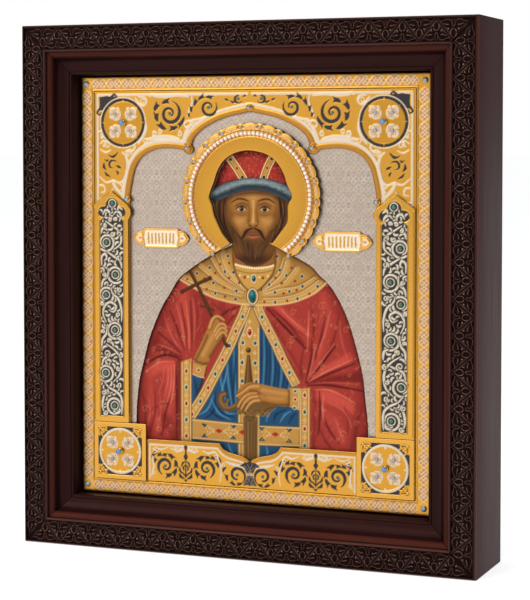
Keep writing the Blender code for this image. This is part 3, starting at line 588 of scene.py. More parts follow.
def carving(along, inward, length, count):
    """Height and colour of the carved band at each point; 0 is the front plane."""
    pitch = (length - 2 * INNER_LINE) / count
    level = (inward - OUTER_LINE) / (INNER_LINE - OUTER_LINE)
    turn = (along - INNER_LINE) / pitch
    zigzag = np.abs((turn % 1.0) * 2 - 1)
    in_corner = (turn < 0) | (turn > count)
    zigzag[in_corner] = 2.0
    tip_inside = level < zigzag
    nearest = np.clip(np.round(turn), 0, count)
    across = np.where(tip_inside, turn - nearest, turn - np.floor(turn) - 0.5) * pitch
    down = np.where(tip_inside, 1 - level, level) * TRIANGLE_HEIGHT
    lean = (pitch / 2) / hypot(pitch / 2, TRIANGLE_HEIGHT)
    from_ribbon = np.abs(level - zigzag) * TRIANGLE_HEIGHT * lean
    from_ribbon[in_corner] = 9.0
    floor_share = np.clip((from_ribbon - 0.95) / 0.45, 0, 1)
    edge = np.minimum(inward - OUTER_LINE, INNER_LINE - inward)
    floor_share = np.minimum(floor_share, np.clip(edge / 0.45, 0, 1))
    height = floor_share * (-1.8 + look_up(tile.height, across, down))
    groove = np.clip(1 - np.abs(from_ribbon - 0.6) / 0.25, 0, 1) * (edge > 0)
    height -= 0.35 * groove
    colour = look_up(tile.colour, across, down)
    top = np.array(TOP_WOOD) / 255.0
    colour = top + (colour - top) * floor_share[..., None]
    # The grooves beside the ribbon are darkened as well as sunk: painted shade.
    colour *= (1 - 0.6 * groove)[..., None]
    # The ribbon's raised edges are lightened: a painted highlight, with some wear.
    ridge_highlight_and_wear = np.clip(1 - np.abs(from_ribbon - 1.05) / 0.3, 0, 1) * (edge > 0.3) * 0.5
    colour += (np.array(EDGE_HIGHLIGHT[0]) / 255.0 - colour) * ridge_highlight_and_wear[..., None]
    return height, colour


def rail(name, length, across, turn, count, front_wood, side_wood, painted_light=1.0):
    """A mitred rail, drawn as the lower one and turned about the middle of the frame."""
    spin = radians(turn)
    rows = np.linspace(BAND_START, BAND_END, 47)
    gap = 0.15 * sqrt(2)
    columns = np.linspace(0, 1, int(length / 0.4))
    inward = np.repeat(rows[:, None], len(columns), axis=1)
    along = inward + gap + (length - 2 * inward - 2 * gap) * columns[None, :]
    height, band_colour = carving(along, inward, length, count)
    u = [np.repeat([s[0] for s in SECTION], 2), inward.ravel(), np.repeat(rows[[0, -1]], 2)]
    ends = lambda w: np.stack([w + gap, length - w - gap], axis=-1).ravel()
    s = [ends(np.array([p[0] for p in SECTION])), along.ravel(), ends(rows[[0, -1]])]
    d = [np.repeat([p[1] for p in SECTION], 2), -height.ravel(), np.full(4, 2.4)]
    # On the bottom rail the mouldings inside the band are made paler: painted light from above.
    painted_light_share = np.repeat([painted_light if p[0] > BAND_END and p[1] < 53 else 1.0 for p in SECTION], 2)[:, None]
    tone = [np.repeat([p[2] for p in SECTION], 2, axis=0) / 255.0 * painted_light_share,
        band_colour.reshape(-1, 3), np.tile(np.array(TOP_WOOD) / 255.0, (4, 1))]
    u, s, d, tone = (np.concatenate(part) for part in (u, s, d, tone))
    x, z = s - length / 2, u - across / 2
    spots = points_of(x * cos(spin) - z * sin(spin), x * sin(spin) + z * cos(spin) + HEIGHT / 2, d)
    n = len(SECTION)
    faces = [(2 * i, 2 * i + 1, 2 * ((i + 1) % n) + 1, 2 * ((i + 1) % n)) for i in range(n)]
    faces += [tuple(range(0, 2 * n, 2)), tuple(range(1, 2 * n, 2))[::-1]]
    moulded = len(faces)
    r, c = inward.shape
    grid = (2 * n + np.arange(r * c)).reshape(r, c)
    quads = np.stack([grid[:-1, :-1], grid[:-1, 1:], grid[1:, 1:], grid[1:, :-1]],
        axis=-1).reshape(-1, 4)
    faces += quads.tolist()
    low = 2 * n + r * c
    faces += [tuple(grid[0, ::-1]) + (low, low + 1), tuple(grid[-1]) + (low + 3, low + 2),
        tuple(grid[:, 0]) + (low + 2, low), tuple(grid[::-1, -1]) + (low + 1, low + 3),
        (low, low + 2, low + 3, low + 1)]
    mesh = bpy.data.meshes.new(name)
    mesh.from_pydata(spots.tolist(), [], faces)
    tint = mesh.attributes.new("tint", "FLOAT_COLOR", "POINT")
    tint.data.foreach_set("color",
        np.concatenate([linear(tone), np.ones((len(tone), 1))], axis=1).ravel())
    smooth_faces = np.zeros(len(faces), bool)
    smooth_faces[:n] = True
    smooth_faces[moulded:moulded + len(quads)] = True
    mesh.polygons.foreach_set("use_smooth", smooth_faces)
    mesh.set_sharp_from_angle(angle=radians(62))
    mesh.materials.append(front_wood)
    mesh.materials.append(side_wood)
    slots = np.zeros(len(faces), int)
    slots[:4] = 1
    slots[n - 1] = 1
    mesh.polygons.foreach_set("material_index", slots)
    return finish_piece(mesh, name)


for node_name, length, across, turn, count, woods in (
        ("frame_bottom", WIDTH, HEIGHT, 0, 13, (WOOD_ACROSS, SIDE_ACROSS)),
        ("frame_right", HEIGHT, WIDTH, 90, 14, (WOOD_UPRIGHT, SIDE_UPRIGHT)),
        ("frame_top", WIDTH, HEIGHT, 180, 13, (WOOD_ACROSS, SIDE_ACROSS)),
        ("frame_left", HEIGHT, WIDTH, 270, 14, (WOOD_UPRIGHT, SIDE_UPRIGHT))):
    # The bottom rail gets painted light on its inner mouldings (factor 1.3).
    made = rail("carved_" + node_name, length, across, turn, count, *woods,
        painted_light=1.3 if turn == 0 else 1.0)
    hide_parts(node_name)

# %% [markdown]
# ## The border of knots
#
# Around the cover runs a gilded border, eleven millimetres wide, where two ribbons cross again
# and again and leave a row of pale matt knots between them. The row follows a straight line, so
# each side is drawn by one loop over its knots.

# %% The border plate
KNOT_LINE = ((226, 192, 150), 0.8, 0.34)
OVAL = ((-1, 0), (-0.72, 2.5), (-0.36, 4.1), (0, 4.5), (0.36, 4.1), (0.72, 2.5), (1, 0),
    (0.72, -2.5), (0.36, -4.1), (0, -4.5), (-0.36, -4.1), (-0.72, -2.5), (-1, 0))


def knot(sheet, x, z, upright, half):
    """One pale knot: an oval with its net, tied to the next one by crossing ribbons."""
    def at(along, across):
        return (x + across, z + along) if upright else (x + along, z + across)
    oval = [at(half * u, v) for u, v in OVAL]
    sheet.area(oval[:-1], PINK_SILVER, 0.03, 0.8, 0.92)
    for way in (-1, 1):
        for level in (-2.7, 0.0, 2.7):
            reach = 4.4 - abs(level) * 0.6
            sheet.stroke(
                [at(level - reach * 0.62, way * -reach * 0.74),
                at(level + reach * 0.62, way * reach * 0.74)], 0.7, KNOT_LINE, 0.08, 0.35, 0.85)
        sheet.stroke(
            smooth([at(-half - 2.4, way * 3.4), at(-half, 0.0), at(-half + 2.4, way * -3.4)], 4),
            0.5, KNOT_LINE, 0.1, 0.4, 0.75)
    sheet.stroke(oval, 0.55, KNOT_LINE, 0.1, 0.4, 0.8)


border = Sheet(np.arange(-ICON_X, ICON_X + 0.3, 0.504),
    np.arange(ICON_LOW, ICON_HIGH + 0.3, 0.5039), GOLD)
border.cut([(-COVER_X - 0.3, COVER_LOW - 0.3), (COVER_X + 0.3, COVER_LOW - 0.3),
    (COVER_X + 0.3, COVER_HIGH + 0.3), (-COVER_X - 0.3, COVER_HIGH + 0.3)], inner=False)
KNOT_LINE_X, KNOT_LOW, KNOT_HIGH = 136.0, 44.9, 355.1
for i in range(21):
    for z in (KNOT_LOW, KNOT_HIGH):
        knot(border, -125.5 + 12.55 * i, z, False, 6.1)
for i in range(24):
    for x in (-KNOT_LINE_X, KNOT_LINE_X):
        knot(border, x, 56.0 + 288.0 / 23 * i, True, 6.1)
for inset, width, finish, rise in ((131.3, 0.4, GOLD_DARK, -0.12), (130.3, 1.3, GOLD, 0.15),
        (140.1, 0.5, GOLD_DARK, -0.2)):
    drop = COVER_X - inset
    edge = [(-inset, COVER_LOW + drop), (inset, COVER_LOW + drop), (inset, COVER_HIGH - drop),
        (-inset, COVER_HIGH - drop), (-inset, COVER_LOW + drop)]
    border.stroke(edge, width, finish, rise, 0.4)
made = border.piece("knotted_border", BORDER_FRONT, 24.7, CHASED)
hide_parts("border_plate")

# %% [markdown]
# ## The silver ground
#
# Behind the figure lies matt silver, engraved all over with a fine net of leaves, crosses and
# flowers. It is cut out along the painted figure, so its edge is the figure's outline.

# %% The outline of the painted figure
LEFT_SIDE = [(-95, 60), (-95, 100), (-94, 115), (-92, 130), (-88, 145), (-84, 160), (-78, 175),
    (-72, 187), (-66, 196), (-59, 207), (-50, 214), (-38, 222), (-25, 229), (-15, 233.5)]
RIGHT_SIDE = [(19, 234), (22, 233), (35, 226), (48, 219), (55, 212), (61, 207), (68, 198),
    (75, 185), (80, 172), (85, 155), (89, 138), (91, 120), (93, 100), (93, 60)]
HEAD_SIDE = [(-15, 235), (-21, 242), (-25, 249.5), (-28.5, 257), (-30, 264), (-32.3, 269.5),
    (-31, 274.5), (-28.3, 281), (-25.3, 289.5), (-20, 297.2), (-12.5, 302), (-4, 304.2), (4, 304),
    (13.5, 301.7), (21.5, 296.5), (27.3, 288), (30.5, 279), (33.6, 273.2), (33.8, 268.8), (31, 264),
    (31, 256), (30, 250.5), (25, 243.5), (18.5, 235.5)]
figure = smooth(LEFT_SIDE, 3) + smooth(HEAD_SIDE, 3) + smooth(RIGHT_SIDE, 3)
head_hole = smooth(HEAD_SIDE, 3)


def fine_middle(low, high, fine_low, fine_high, step, coarse=5.0):
    """Grid lines that are close together only where the plate shows."""
    left = np.linspace(low, fine_low, max(2, int((fine_low - low) / coarse)), endpoint=False)
    middle = np.arange(fine_low, fine_high, step)
    right = np.linspace(fine_high, high, max(2, int((high - fine_high) / coarse)))
    return np.concatenate([left, middle, right])


ground = Sheet(fine_middle(-COVER_X, COVER_X, -102.0, 102.0, 0.6),
    fine_middle(COVER_LOW, COVER_HIGH, 68.0, 336.0, 0.6), SILVER)
ground.cut(figure, inner=False)
LIGHT_LINE = ((218, 203, 188), 1.0, 0.3)
DARK_LINE = ((128, 110, 101), 1.0, 0.45)
x, z = ground.x, ground.z
PERIOD_X, PERIOD_Z = 15.5, 23.0
wave = np.cos(2 * np.pi * x / PERIOD_X) + np.cos(2 * np.pi * z / PERIOD_Z)
everywhere = (slice(None), slice(None))
for level, width, finish, strength, rise in ((0.0, 0.14, DARK_LINE, 0.3, -0.05),
        (0.24, 0.12, LIGHT_LINE, 0.4, 0.08), (1.35, 0.12, DARK_LINE, 0.25, -0.05)):
    ground.lay(everywhere, share_of(np.abs(np.abs(wave) - level) / width - 0.6, 0.9) * strength,
        finish, rise)
FLOWER_X, FLOWER_Z = PERIOD_X / 2, PERIOD_Z / 3
row = np.round(z / FLOWER_Z)
across = (x / FLOWER_X - 0.5 * (row % 2))
across = (across - np.round(across)) * FLOWER_X
upward = z - row * FLOWER_Z
reach, turn = np.hypot(across, upward), np.arctan2(upward, across)
for share, finish, rise in (
        (share_of(reach * np.abs(np.cos(2 * turn)) / 2 - 0.3,
        0.4) * (reach > 0.9) * (reach < 2.5) * 0.8, LIGHT_LINE, 0.06),
        (share_of(np.abs(reach - 3.0 - 0.6 * np.cos(4 * turn)) - 0.22, 0.4) * 0.85, LIGHT_LINE,
        0.06), (share_of(np.abs(reach - 2.3 - 0.5 * np.cos(4 * turn)) - 0.15, 0.4) * 0.6, DARK_LINE,
        -0.05), (share_of(reach - 0.6, 0.4) * 0.6, LIGHT_LINE, 0.06)):
    ground.lay(everywhere, share * (0.7 + 0.3 * np.sin(x * 0.19 + 1) * np.sin(z * 0.15)), finish,
        rise)
made = ground.piece("engraved_silver_ground", GROUND_FRONT, 24.7, CHASED)
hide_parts("ground_plate")

# %% [markdown]
# ## The arch plate
#
# The plate in front of the silver leaves an ogee arch above and a cusped sill below. It is
# gilded, with white channels and scrolls of black enamel that curl around green stones. Opening
# and band come from one outline; every scroll is a few tapering strokes.

# %% The opening and its raised band
ARCH_LEFT = [(-99.5, 268), (-99.3, 272), (-98.5, 277), (-97, 284), (-95, 291), (-91, 297.5),
    (-86, 301.7), (-80, 304.5), (-73, 305.9), (-65, 306), (-57, 305.2), (-54.2, 304.2),
    (-52.3, 302.3), (-49.5, 301.6), (-46.6, 303.2), (-46.3, 306.5), (-47.6, 308.6), (-47, 311.5),
    (-44.5, 315.5), (-40, 319.5), (-35, 322.8), (-29, 325.8), (-22, 328.5), (-14, 330.6), (-7, 332),
    (0, 333.5)]
SILL_LEFT = [(-24.5, 83.0), (-23, 80.6), (-20.5, 78.3), (-17, 76.7), (-12, 75.5), (-6.5, 74.2),
    (-2.5, 72.4), (0, 70.6)]
arch_half = smooth(ARCH_LEFT, 3)
sill_half = smooth(SILL_LEFT, 3)
opening = ([(-99.66, 83.0)] + sill_half + half_turn(sill_half)[1:] + [(99.66, 83.0)] + [
    (-x, z) for x, z in arch_half] + arch_half[::-1][1:])
opening = [p for i, p in enumerate(opening) if i == 0 or dist(p, opening[i - 1]) > 0.01]


def shifted(points, distance):
    """A line moved sideways, to the left of its direction."""
    p = np.array(points, float)
    way = np.gradient(p, axis=0)
    way /= np.hypot(way[:, 0], way[:, 1])[:, None]
    return [tuple(q) for q in p + np.stack([-way[:, 1], way[:, 0]], axis=1) * distance]


xs = np.arange(-COVER_X, COVER_X + 0.3, 0.5573)
zs = np.concatenate(
    [np.arange(COVER_LOW, 86.0, 0.5), np.linspace(86.5, 258.0, 40),
    np.arange(258.5, COVER_HIGH + 0.2, 0.52)])
arch = Sheet(xs, zs, GOLD)
arch.cut(opening, inner=False)
BAND_GOLD = ((182, 128, 54), 1.0, 0.3)


def flip(points, side):
    return [(x * side, z) for x, z in points]


def spiral(x, z, radii, start, sweep, count=26):
    """Points of a spiral from the outer end inwards; angles in degrees from the right."""
    turns = np.radians(np.linspace(start, start + sweep, count))
    reach = np.interp(np.linspace(0, 1, count), np.linspace(0, 1, len(radii)), radii)
    return [(x + r * cos(a), z + r * sin(a)) for r, a in zip(reach, turns)]


def inlay(side, points, width, finish=BLACK, rise=-0.12, soft=0.4):
    """A tapering curve on one side of the arch plate."""
    arch.stroke(flip(smooth(points, 4), side), width, finish, rise, soft)


def scroll(side, x, z, radii, start, sweep, width, finish=BLACK, rise=-0.12, soft=0.35):
    """A spiral on one side of the arch plate."""
    arch.stroke(flip(spiral(x, z, radii, start, sweep), side), width, finish, rise, soft)


LEAF = ((-0.56, 0.9), (-0.24, 0.6), (0.1, 0.66), (0.4, 0.5), (0.62, 0.1), (0.34, -0.3),
    (-0.1, -0.55), (-0.46, -0.8), (-0.34, 0.05))


def leaves(x, z, rows, side, sheet, finish=BLACK, way=1):
    """Forked leaves around a scroll, each given by radius, angle, length and thickness."""
    for reach, angle, length, thick in rows:
        outline = []
        for u, v in LEAF:
            r, turn = reach + v * thick, radians(angle) + u * length / reach
            outline.append((x + way * r * cos(turn), z + r * sin(turn)))
        sheet.area(flip(outline, side), finish, -0.12, 0.4)


# %% White channels, black scrolls, medallions
for side in (-1, 1):
    # A faint dark groove just inside the plate's outer edge: painted shadow of the gap to the
    # border.
    arch.stroke([(side * 128.3, 84), (side * 128.3, 348.2), (0, 348.2)], 0.6, GOLD_DARK, -0.1, 0.5,
        0.5)
    arch.stroke(flip([(-126.6, 262), (-126.6, 346.6), (-2, 346.6)], side), 1.7, WHITE, 0.1, 0.45)
    outer = shifted(arch_half, 5.6)
    arch.stroke(flip(outer[:len(outer) // 2 - 3], side), 2.6, WHITE, 0.1)
    arch.stroke(flip(outer[len(outer) // 2 + 12:], side), 2.0, WHITE, 0.1)
    for points, width in (
            ([(-85, 312.5), (-76, 313.5), (-66, 313.6), (-58, 312.6)], (1.0, 4.2, 4.2, 2.0)),
            ([(-55, 311), (-52.5, 316), (-50.5, 321), (-46, 325)], (1.5, 3.2, 2.4, 1.0)),
            ([(-46, 325.5), (-50.5, 326.6), (-53.6, 324.4), (-52, 321.5), (-49.7, 323)],
            (1.2, 1.4, 1.2, 0.7)),
            ([(-47.5, 346), (-47, 340), (-49.5, 334.5), (-51, 330)], (1.0, 1.4, 1.4, 0.9)),
            ([(-47, 327.5), (-41.5, 327.6), (-36, 329.3), (-40, 325.4)], (1.0, 1.8, 1.2, 0.6)),
            ([(-82, 345.5), (-80.5, 347), (-77, 345.6), (-68, 345.3), (-60, 346), (-50, 345)],
            (1.2, 2.2, 2.4, 1.2)),
            ([(-94.5, 344), (-91.7, 339.5), (-92, 334.5), (-88, 329), (-86, 322), (-87.5, 316),
            (-92, 309.5)], (0.8, 1.6, 2.2, 2.6, 2.8, 2.4, 1.2)),
            ([(-92, 345), (-87, 344.6), (-85, 341.2), (-87.6, 338.4), (-90.6, 339.6)],
            (1.0, 1.5, 1.4, 0.8)),
            ([(-79, 312.5), (-79.4, 318.2), (-76.6, 317.4), (-78, 315)], (2.2, 1.4, 1.0, 0.8)),
            ([(-103, 303.5), (-97.5, 303.6), (-94.8, 306.8), (-97, 309.2), (-99.5, 307.5)],
            (1.0, 1.6, 1.4, 0.8)),
            ([(-106, 303), (-102.6, 300), (-101, 293), (-102.5, 286), (-106, 279)],
            (0.8, 1.8, 2.6, 2.2, 1.0)),
            ([(-124.5, 305), (-120, 302.7), (-115.5, 304.3)], (0.7, 1.3, 0.7)),
            ([(-124.5, 309.5), (-121, 311.6), (-120, 308.8), (-122.3, 307.6)],
            (0.9, 1.3, 1.1, 0.6)),
            ([(-126, 318.5), (-122.6, 318.9), (-121.8, 315.8), (-124, 314.4)],
            (0.9, 1.4, 1.2, 0.6)),
            ([(-125, 284), (-119.5, 279.7), (-113.5, 280.8), (-107.5, 279.5), (-103.5, 284)],
            (0.7, 1.2, 1.7, 1.2, 0.7)),
            ([(-113.5, 281), (-112, 276.5), (-104, 268), (-101.5, 266.5)], (1.4, 2.6, 1.8, 0.8)),
            ([(-125, 277.5), (-121.4, 276.8), (-120.7, 272.6), (-124, 272)], (1.0, 1.5, 1.3, 0.7)),
            ([(-108.5, 279), (-105.5, 276.3), (-107, 273.6)], (1.0, 1.5, 0.9)),
            ([(-126, 266.5), (-121, 266.6), (-117, 270), (-114, 274.5)], (1.2, 1.8, 1.4, 0.8))):
        inlay(side, points, width, WHITE, 0.12, 0.45)
    arch.area(flip(
        [(-125.3, 334.8), (-119.6, 335), (-116.4, 338.6), (-113.2, 341.5), (-110.9, 345.6),
        (-115.2, 345.2), (-118.6, 346), (-125, 345), (-124.6, 340)], side), BLACK, -0.12)
    for tail in ([(-115, 345), (-112.4, 347), (-110.2, 345.2), (-111.8, 343.6)],
            [(-125, 336), (-127, 333), (-124.6, 331.4), (-123.6, 333.4)]):
        inlay(side, tail, (1.8, 1.2, 0.8))
    scroll(side, -65.5, 332.2, (9.6, 8.4, 7.4, 6.4, 5.7, 5.0, 3.8, 2.9, 2.4, 1.9), 76, -520,
        (0.5, 2.2, 2.9, 2.7, 2.4, 2.2, 1.9, 1.5, 1.2, 0.7))
    leaves(-65.5, 332.2,
        ((9.6, 110, 6.0, 2.8), (12.4, 155, 6.2, 3.0), (11.4, 192, 6.6, 2.9), (11.8, 235, 7.4, 3.0),
        (11.2, 285, 6.4, 2.8), (11.8, 325, 8.4, 2.2)), side, arch)
    scroll(side, -33.5, 336.6, (7.0, 6.2, 5.2, 4.4, 3.2, 2.2), 30, -400,
        (0.5, 2.1, 2.2, 1.9, 1.4, 0.8))
    leaves(-33.5, 336.6,
        ((7.8, 84, 5.4, 2.2), (9.6, 128, 5.4, 2.3), (11.4, 160, 5.0, 2.2), (14.2, 184, 4.6, 1.9),
        (17.0, 199, 3.4, 1.5)), side, arch)
    for x, z, size, start, sweep in ((-88.4, 341.0, 3.2, 200, 520), (-46.6, 325.2, 2.6, 40, -480),
            (-99.4, 302.6, 2.7, 250, -470), (-86.4, 311.4, 2.2, 260, 420),
            (-118.6, 308.4, 2.6, 200, -460), (-123.0, 315.6, 1.8, 250, 420),
            (-57.6, 316.8, 2.0, 100, -400), (-74.0, 318.6, 1.8, 250, 400)):
        scroll(side, x, z, (size, size * 0.75, 0.5), start, sweep, (1.2, 0.9, 0.6), WHITE, 0.1, 0.4)
    scroll(side, -9.5, 343.0, (3.6, 2.6, 2.2), 330, -250, (0.5, 1.9, 1.2))
    for leaf in ([(-20.5, 342.9), (-18.6, 342.4), (-17.4, 341.9)],
            [(-16, 341.8), (-13.6, 340.4), (-11, 340.9)],
            [(-5.6, 344.6), (-4.2, 345.2), (-2.8, 344.8)]):
        inlay(side, leaf, (0.4, 1.7, 0.4))
    scroll(side, -113.8, 293.2, (3.6, 3.3, 3.0, 2.4), 42, 230, (0.8, 1.7, 1.6, 0.5))
    for leaf, width in (([(-117.2, 300.6), (-114.4, 299.3), (-112, 300.2), (-109.6, 302.8)], 2.3),
            ([(-120.6, 297.4), (-118.8, 296.2), (-117.6, 297.4)], 1.6),
            ([(-121.2, 294.8), (-121.4, 291.6), (-119.6, 289.4)], 2.4),
            ([(-120.6, 287.8), (-118.8, 285.4), (-116, 284.2)], 2.0),
            ([(-110.8, 292.6), (-108.6, 291.6), (-106.9, 290.6)], 2.2),
            ([(-110.8, 288.6), (-109.6, 287.2), (-109.6, 285.6)], 1.8)):
        inlay(side, leaf, (0.5, width, 0.5))


VEIN = ((160, 116, 80), 0.9, 0.4)
PETAL_REACH = 9.2


def medallion(sheet, x, z, ring_finish, ring_radius, ring_width, rise=0.25):
    """Gilt disc with a coloured ring and four pale, veined petals."""
    sheet.disc(x, z, ring_radius, ((200, 144, 52), 1.0, 0.28))
    sheet.ring(x, z, ring_radius, ring_width, ring_finish, rise, 0.4)
    for k in range(4):
        turn = radians(45 + 90 * k)
        c, s = cos(turn), sin(turn)

        def at(points):
            return [(x + u * c - v * s, z + u * s + v * c) for u, v in points]
        petal = [(3.8, 0.0), (5.2, 3.0), (7.4, 4.4), (8.3, 3.6), (9.2, 5.3), (11.7, 4.9),
            (11.4, 3.3), (13.6, 2.9), (15.3, 0.0)]
        petal = petal + [(u, -v) for u, v in petal[-2:0:-1]]
        sheet.area(smooth(at(petal + petal[:1]), 2), ((212, 190, 162), 0.6, 0.36), 0.12, 0.45)
        for v in (-3.3, -1.7, 0.0, 1.7, 3.3):
            vein = at([(PETAL_REACH + (1.2 if v else 1.6), v * 0.45),
                (PETAL_REACH + 3.6 - abs(v) * 0.5, v)])
            sheet.stroke(vein, (0.4, 0.8), VEIN, -0.08, 0.35, 0.85)
            vein = at([(PETAL_REACH - 1.4, v * 0.45), (PETAL_REACH - 4.0 + abs(v) * 0.6, v * 0.9)])
            sheet.stroke(vein, (0.4, 0.7), VEIN, -0.08, 0.35, 0.85)
        sheet.disc(*at([(PETAL_REACH, 0)])[0], 1.8, ((168, 138, 112), 1.0, 0.4), -0.06, 0.4, 0.8)
    for k in range(8):
        turn = radians(45 * k)
        tip, foot = [
            (x + r * cos(turn), z + r * sin(turn)) for r in (ring_radius - 2.0, ring_radius + 0.3)]
        sheet.stroke([foot, tip], (0.3, 1.5), ring_finish if rise > 0 else GOLD, 0.0, 0.4,
            1.0 if k % 2 == 0 else 0.6)


MEDALLION_TOP = (105.1, 325.5)
for side in (-1, 1):
    x, z = side * MEDALLION_TOP[0], MEDALLION_TOP[1]
    arch.ring(x, z, 19.2, 0.9, WHITE, 0.05, 0.4)
    arch.disc(x, z, 18.6, GOLD)
    medallion(arch, x, z, BLACK, 17.5, 2.2, -0.12)
band = shifted(arch_half, 2.0)
for side in (-1, 1):
    arch.stroke(flip(band, side), 3.6, BAND_GOLD, 0.22, 1.2)
    arch.stroke(flip(shifted(arch_half, 0.4), side), 0.5, ((120, 74, 34), 1.0, 0.45))
    arch.stroke([(side * 97.6, 80), (side * 97.6, 268)], 4.2, BAND_GOLD, 0.35, 1.0)
    arch.disc(side * 50.6, 306.4, 4.2, BAND_GOLD)
arch.disc(0.0, 336.2, 3.2, BAND_GOLD, 0.2, 0.8)
print("arch band:", round(sum(dist(a, b) for a, b in zip(arch_half, arch_half[1:])) * 2), "mm long")

# %% The sill
sill_line = [(-85.5, 83.0)] + sill_half
for side in (-1, 1):
    arch.stroke(flip(shifted(sill_line, -1.6), side), 3.0, BAND_GOLD, 0.3, 1.0)
    arch.stroke(
        flip([(-83.2, 53.0), (-83.2, 79.0), (-26.4, 79.0), (-24.4, 76.6), (-21.5, 74), (-17, 71.9),
        (-11, 70.8), (-6, 69.6), (-2.6, 68.0)], side), 1.3, WHITE, 0.1, 0.4)
    for x, way, start in ((-70.0, 1, 300), (-35.2, -1, 240)):
        turned = lambda points, x=x, way=way: flip([(x + (px - x) * way, pz) for px, pz in points],
            side)
        arch.stroke(
            turned(spiral(x, 63.2, (7.4, 6.0, 5.2, 4.8, 4.5, 4.1, 3.3, 2.6, 2.0), 250, -400)),
            (0.4, 2.2, 2.6, 2.4, 2.1, 1.8, 1.5, 1.2, 0.8), BLACK, -0.12, 0.35)
        leaves(x * side, 63.2,
            ((12.6, 137, 7.6, 2.0), (9.4, 158, 4.4, 2.0), (9.4, 120, 3.8, 2.0), (8.2, 93, 3.8, 2.0),
            (9.0, 56, 5.4, 2.5), (9.2, 12, 5.4, 2.5), (9.1, -28, 5.4, 2.5), (7.6, -68, 5.0, 2.5)),
            1, arch, way=way * side)
    scroll(side, -10.4, 60.0, (7.4, 5.4, 4.4, 3.4), -60, 330, (0.5, 2.4, 2.2, 1.2))
    leaves(-10.4, 60.0,
        ((8.8, 196, 4.6, 1.9), (11.4, 160, 4.8, 1.8), (7.6, 242, 4.6, 1.8), (7.0, 284, 4.0, 1.8)),
        side, arch)
    x = -52.8
    for points, width in (([(x, 78.4), (x, 76), (x, 73)], (3.0, 1.2, 1.6)),
            ([(x, 73), (x, 71), (x, 68.4)], (1.4, 3.4, 1.0)),
            ([(x, 67), (x, 60.5), (x, 55)], (0.5, 1.2, 0.8))):
        arch.stroke(flip(points, side), width, BLACK, -0.12, 0.4)
    arch.area(flip([(x - 1.7, 71.4), (x, 73.4), (x + 1.7, 71.4), (x, 69.4)], side), BLACK, -0.12,
        0.35)
    for px, pz, size, start, sweep in ((x - 9.0, 77.0, 1.6, 200, 400),
            (x + 9.0, 76.8, 1.6, -20, -400), (-79.6, 57.6, 1.7, 100, 400),
            (-27.6, 73.0, 1.6, 60, -400), (-21.4, 66.4, 1.6, 80, 380)):
        scroll(side, px, pz, (size, size * 0.7, 0.4), start, sweep, (0.9, 0.7, 0.5), WHITE, 0.08)
    for arm in (-1, 1):
        for k in range(3):
            flourish = [(x + arm * 1.6, 78.6 - k * 1.3),
                (x + arm * (4.0 + k * 1.3), 76.6 - k * 0.9), (x + arm * (6.6 + k), 78.0 - k * 1.7)]
            inlay(side, flourish, (0.5, 1.5, 0.5), WHITE, 0.12)
    for arm in (-1, 1):
        for leaf, width in (([(0.4, 67.4), (2.4, 66.2), (3.4, 63.8)], 1.5),
                ([(0.6, 64.6), (2.0, 62.8), (1.5, 60.6)], 1.4),
                ([(5.0, 62.8), (4.7, 60.2), (3.1, 58.4)], 1.8),
                ([(5.1, 58.2), (4.3, 55.8), (1.6, 54.4)], 2.3),
                ([(2.6, 59.2), (1.7, 57.6), (0.5, 56.4)], 1.2)):
            inlay(side, [(x + arm * u, v) for u, v in leaf], (0.4, width, 0.9))
    arch.area(flip([(x - 1.6, 53.6), (x, 51.6), (x + 1.6, 53.6)], side), BLACK, -0.12, 0.4)
    for points, width in (([(-80, 75.8), (-77, 73.6), (-79.8, 72)], (1.2, 1.4, 0.6)),
            ([(-79, 77.4), (-74, 75.6), (-68, 77.4)], (0.6, 1.5, 0.6)),
            ([(-66, 77.4), (-62.5, 76.0), (-60, 77.6)], (0.6, 1.4, 0.6)),
            ([(-39, 77), (-34, 74.9), (-28.5, 76.2), (-25.6, 70), (-23.4, 62), (-24.6, 54)],
            (0.6, 1.8, 1.4, 1.0, 0.8)), ([(-81, 70), (-79.6, 62), (-81.4, 55)], (1.0, 1.4, 1.0)),
            ([(-20, 69.6), (-14, 67.8), (-7, 66.6), (-3.5, 64.6)], (0.7, 2.6, 2.2, 0.8))):
        inlay(side, points, width, WHITE, 0.12, 0.45)
for fan in (
        [(0, 71.6), (2.2, 69.6), (4.0, 70.0), (8.2, 66.9), (5.2, 66.2), (3.8, 64.6), (2.2, 61.4)],
        [(0, 61.0), (1.8, 61.0), (3.2, 57.4), (5.4, 52.6), (4.0, 52.4), (2.4, 53.0), (0, 52.4)]):
    arch.area(fan + [(-u, v) for u, v in fan[::-1]], BLACK, -0.12, 0.4)
for arm in (-1, 1):
    for line in ([(0.3, 61.8), (0.5, 65.4), (2.2, 68.6)], [(0.9, 61.8), (1.8, 64.6), (4.8, 67.0)],
            [(0.3, 60.4), (0.7, 57.0), (1.1, 52.8)], [(0.9, 60.4), (1.9, 57.0), (2.8, 52.8)],
            [(1.4, 60.4), (2.9, 57.0), (4.4, 52.8)]):
        arch.stroke(smooth([(arm * u, v) for u, v in line], 3), 0.3, WHITE, 0.05, 0.3, 0.7)
for z in (60.6, 61.7):
    arch.stroke([(-2.2, z), (2.2, z)], 0.55, WHITE, 0.1, 0.3)
made = arch.piece("enamelled_arch_plate", ARCH_FRONT, 23.2, CHASED, 0.75)
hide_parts("arch_plate")

# %% [markdown]
# ## The columns
#
# Each column is a gilt frame around a dark enamel panel filled with cream scrolls that wind about
# green stones. The right one is the left one turned over, so one function draws both.

# %% Stones and scrolls of a column
COLUMN_STONES = [(-113.5, 263.6), (-118.5, 233.5), (-111.0, 208.8), (-119.0, 193.0),
    (-111.5, 166.0), (-119.5, 132.5), (-112.0, 107.5)]
COLUMN_LOW, COLUMN_APEX, COLUMN_INNER = 94.8, 273.0, 99.96
COLUMN_GOLD = ((206, 152, 64), 1.0, 0.26)


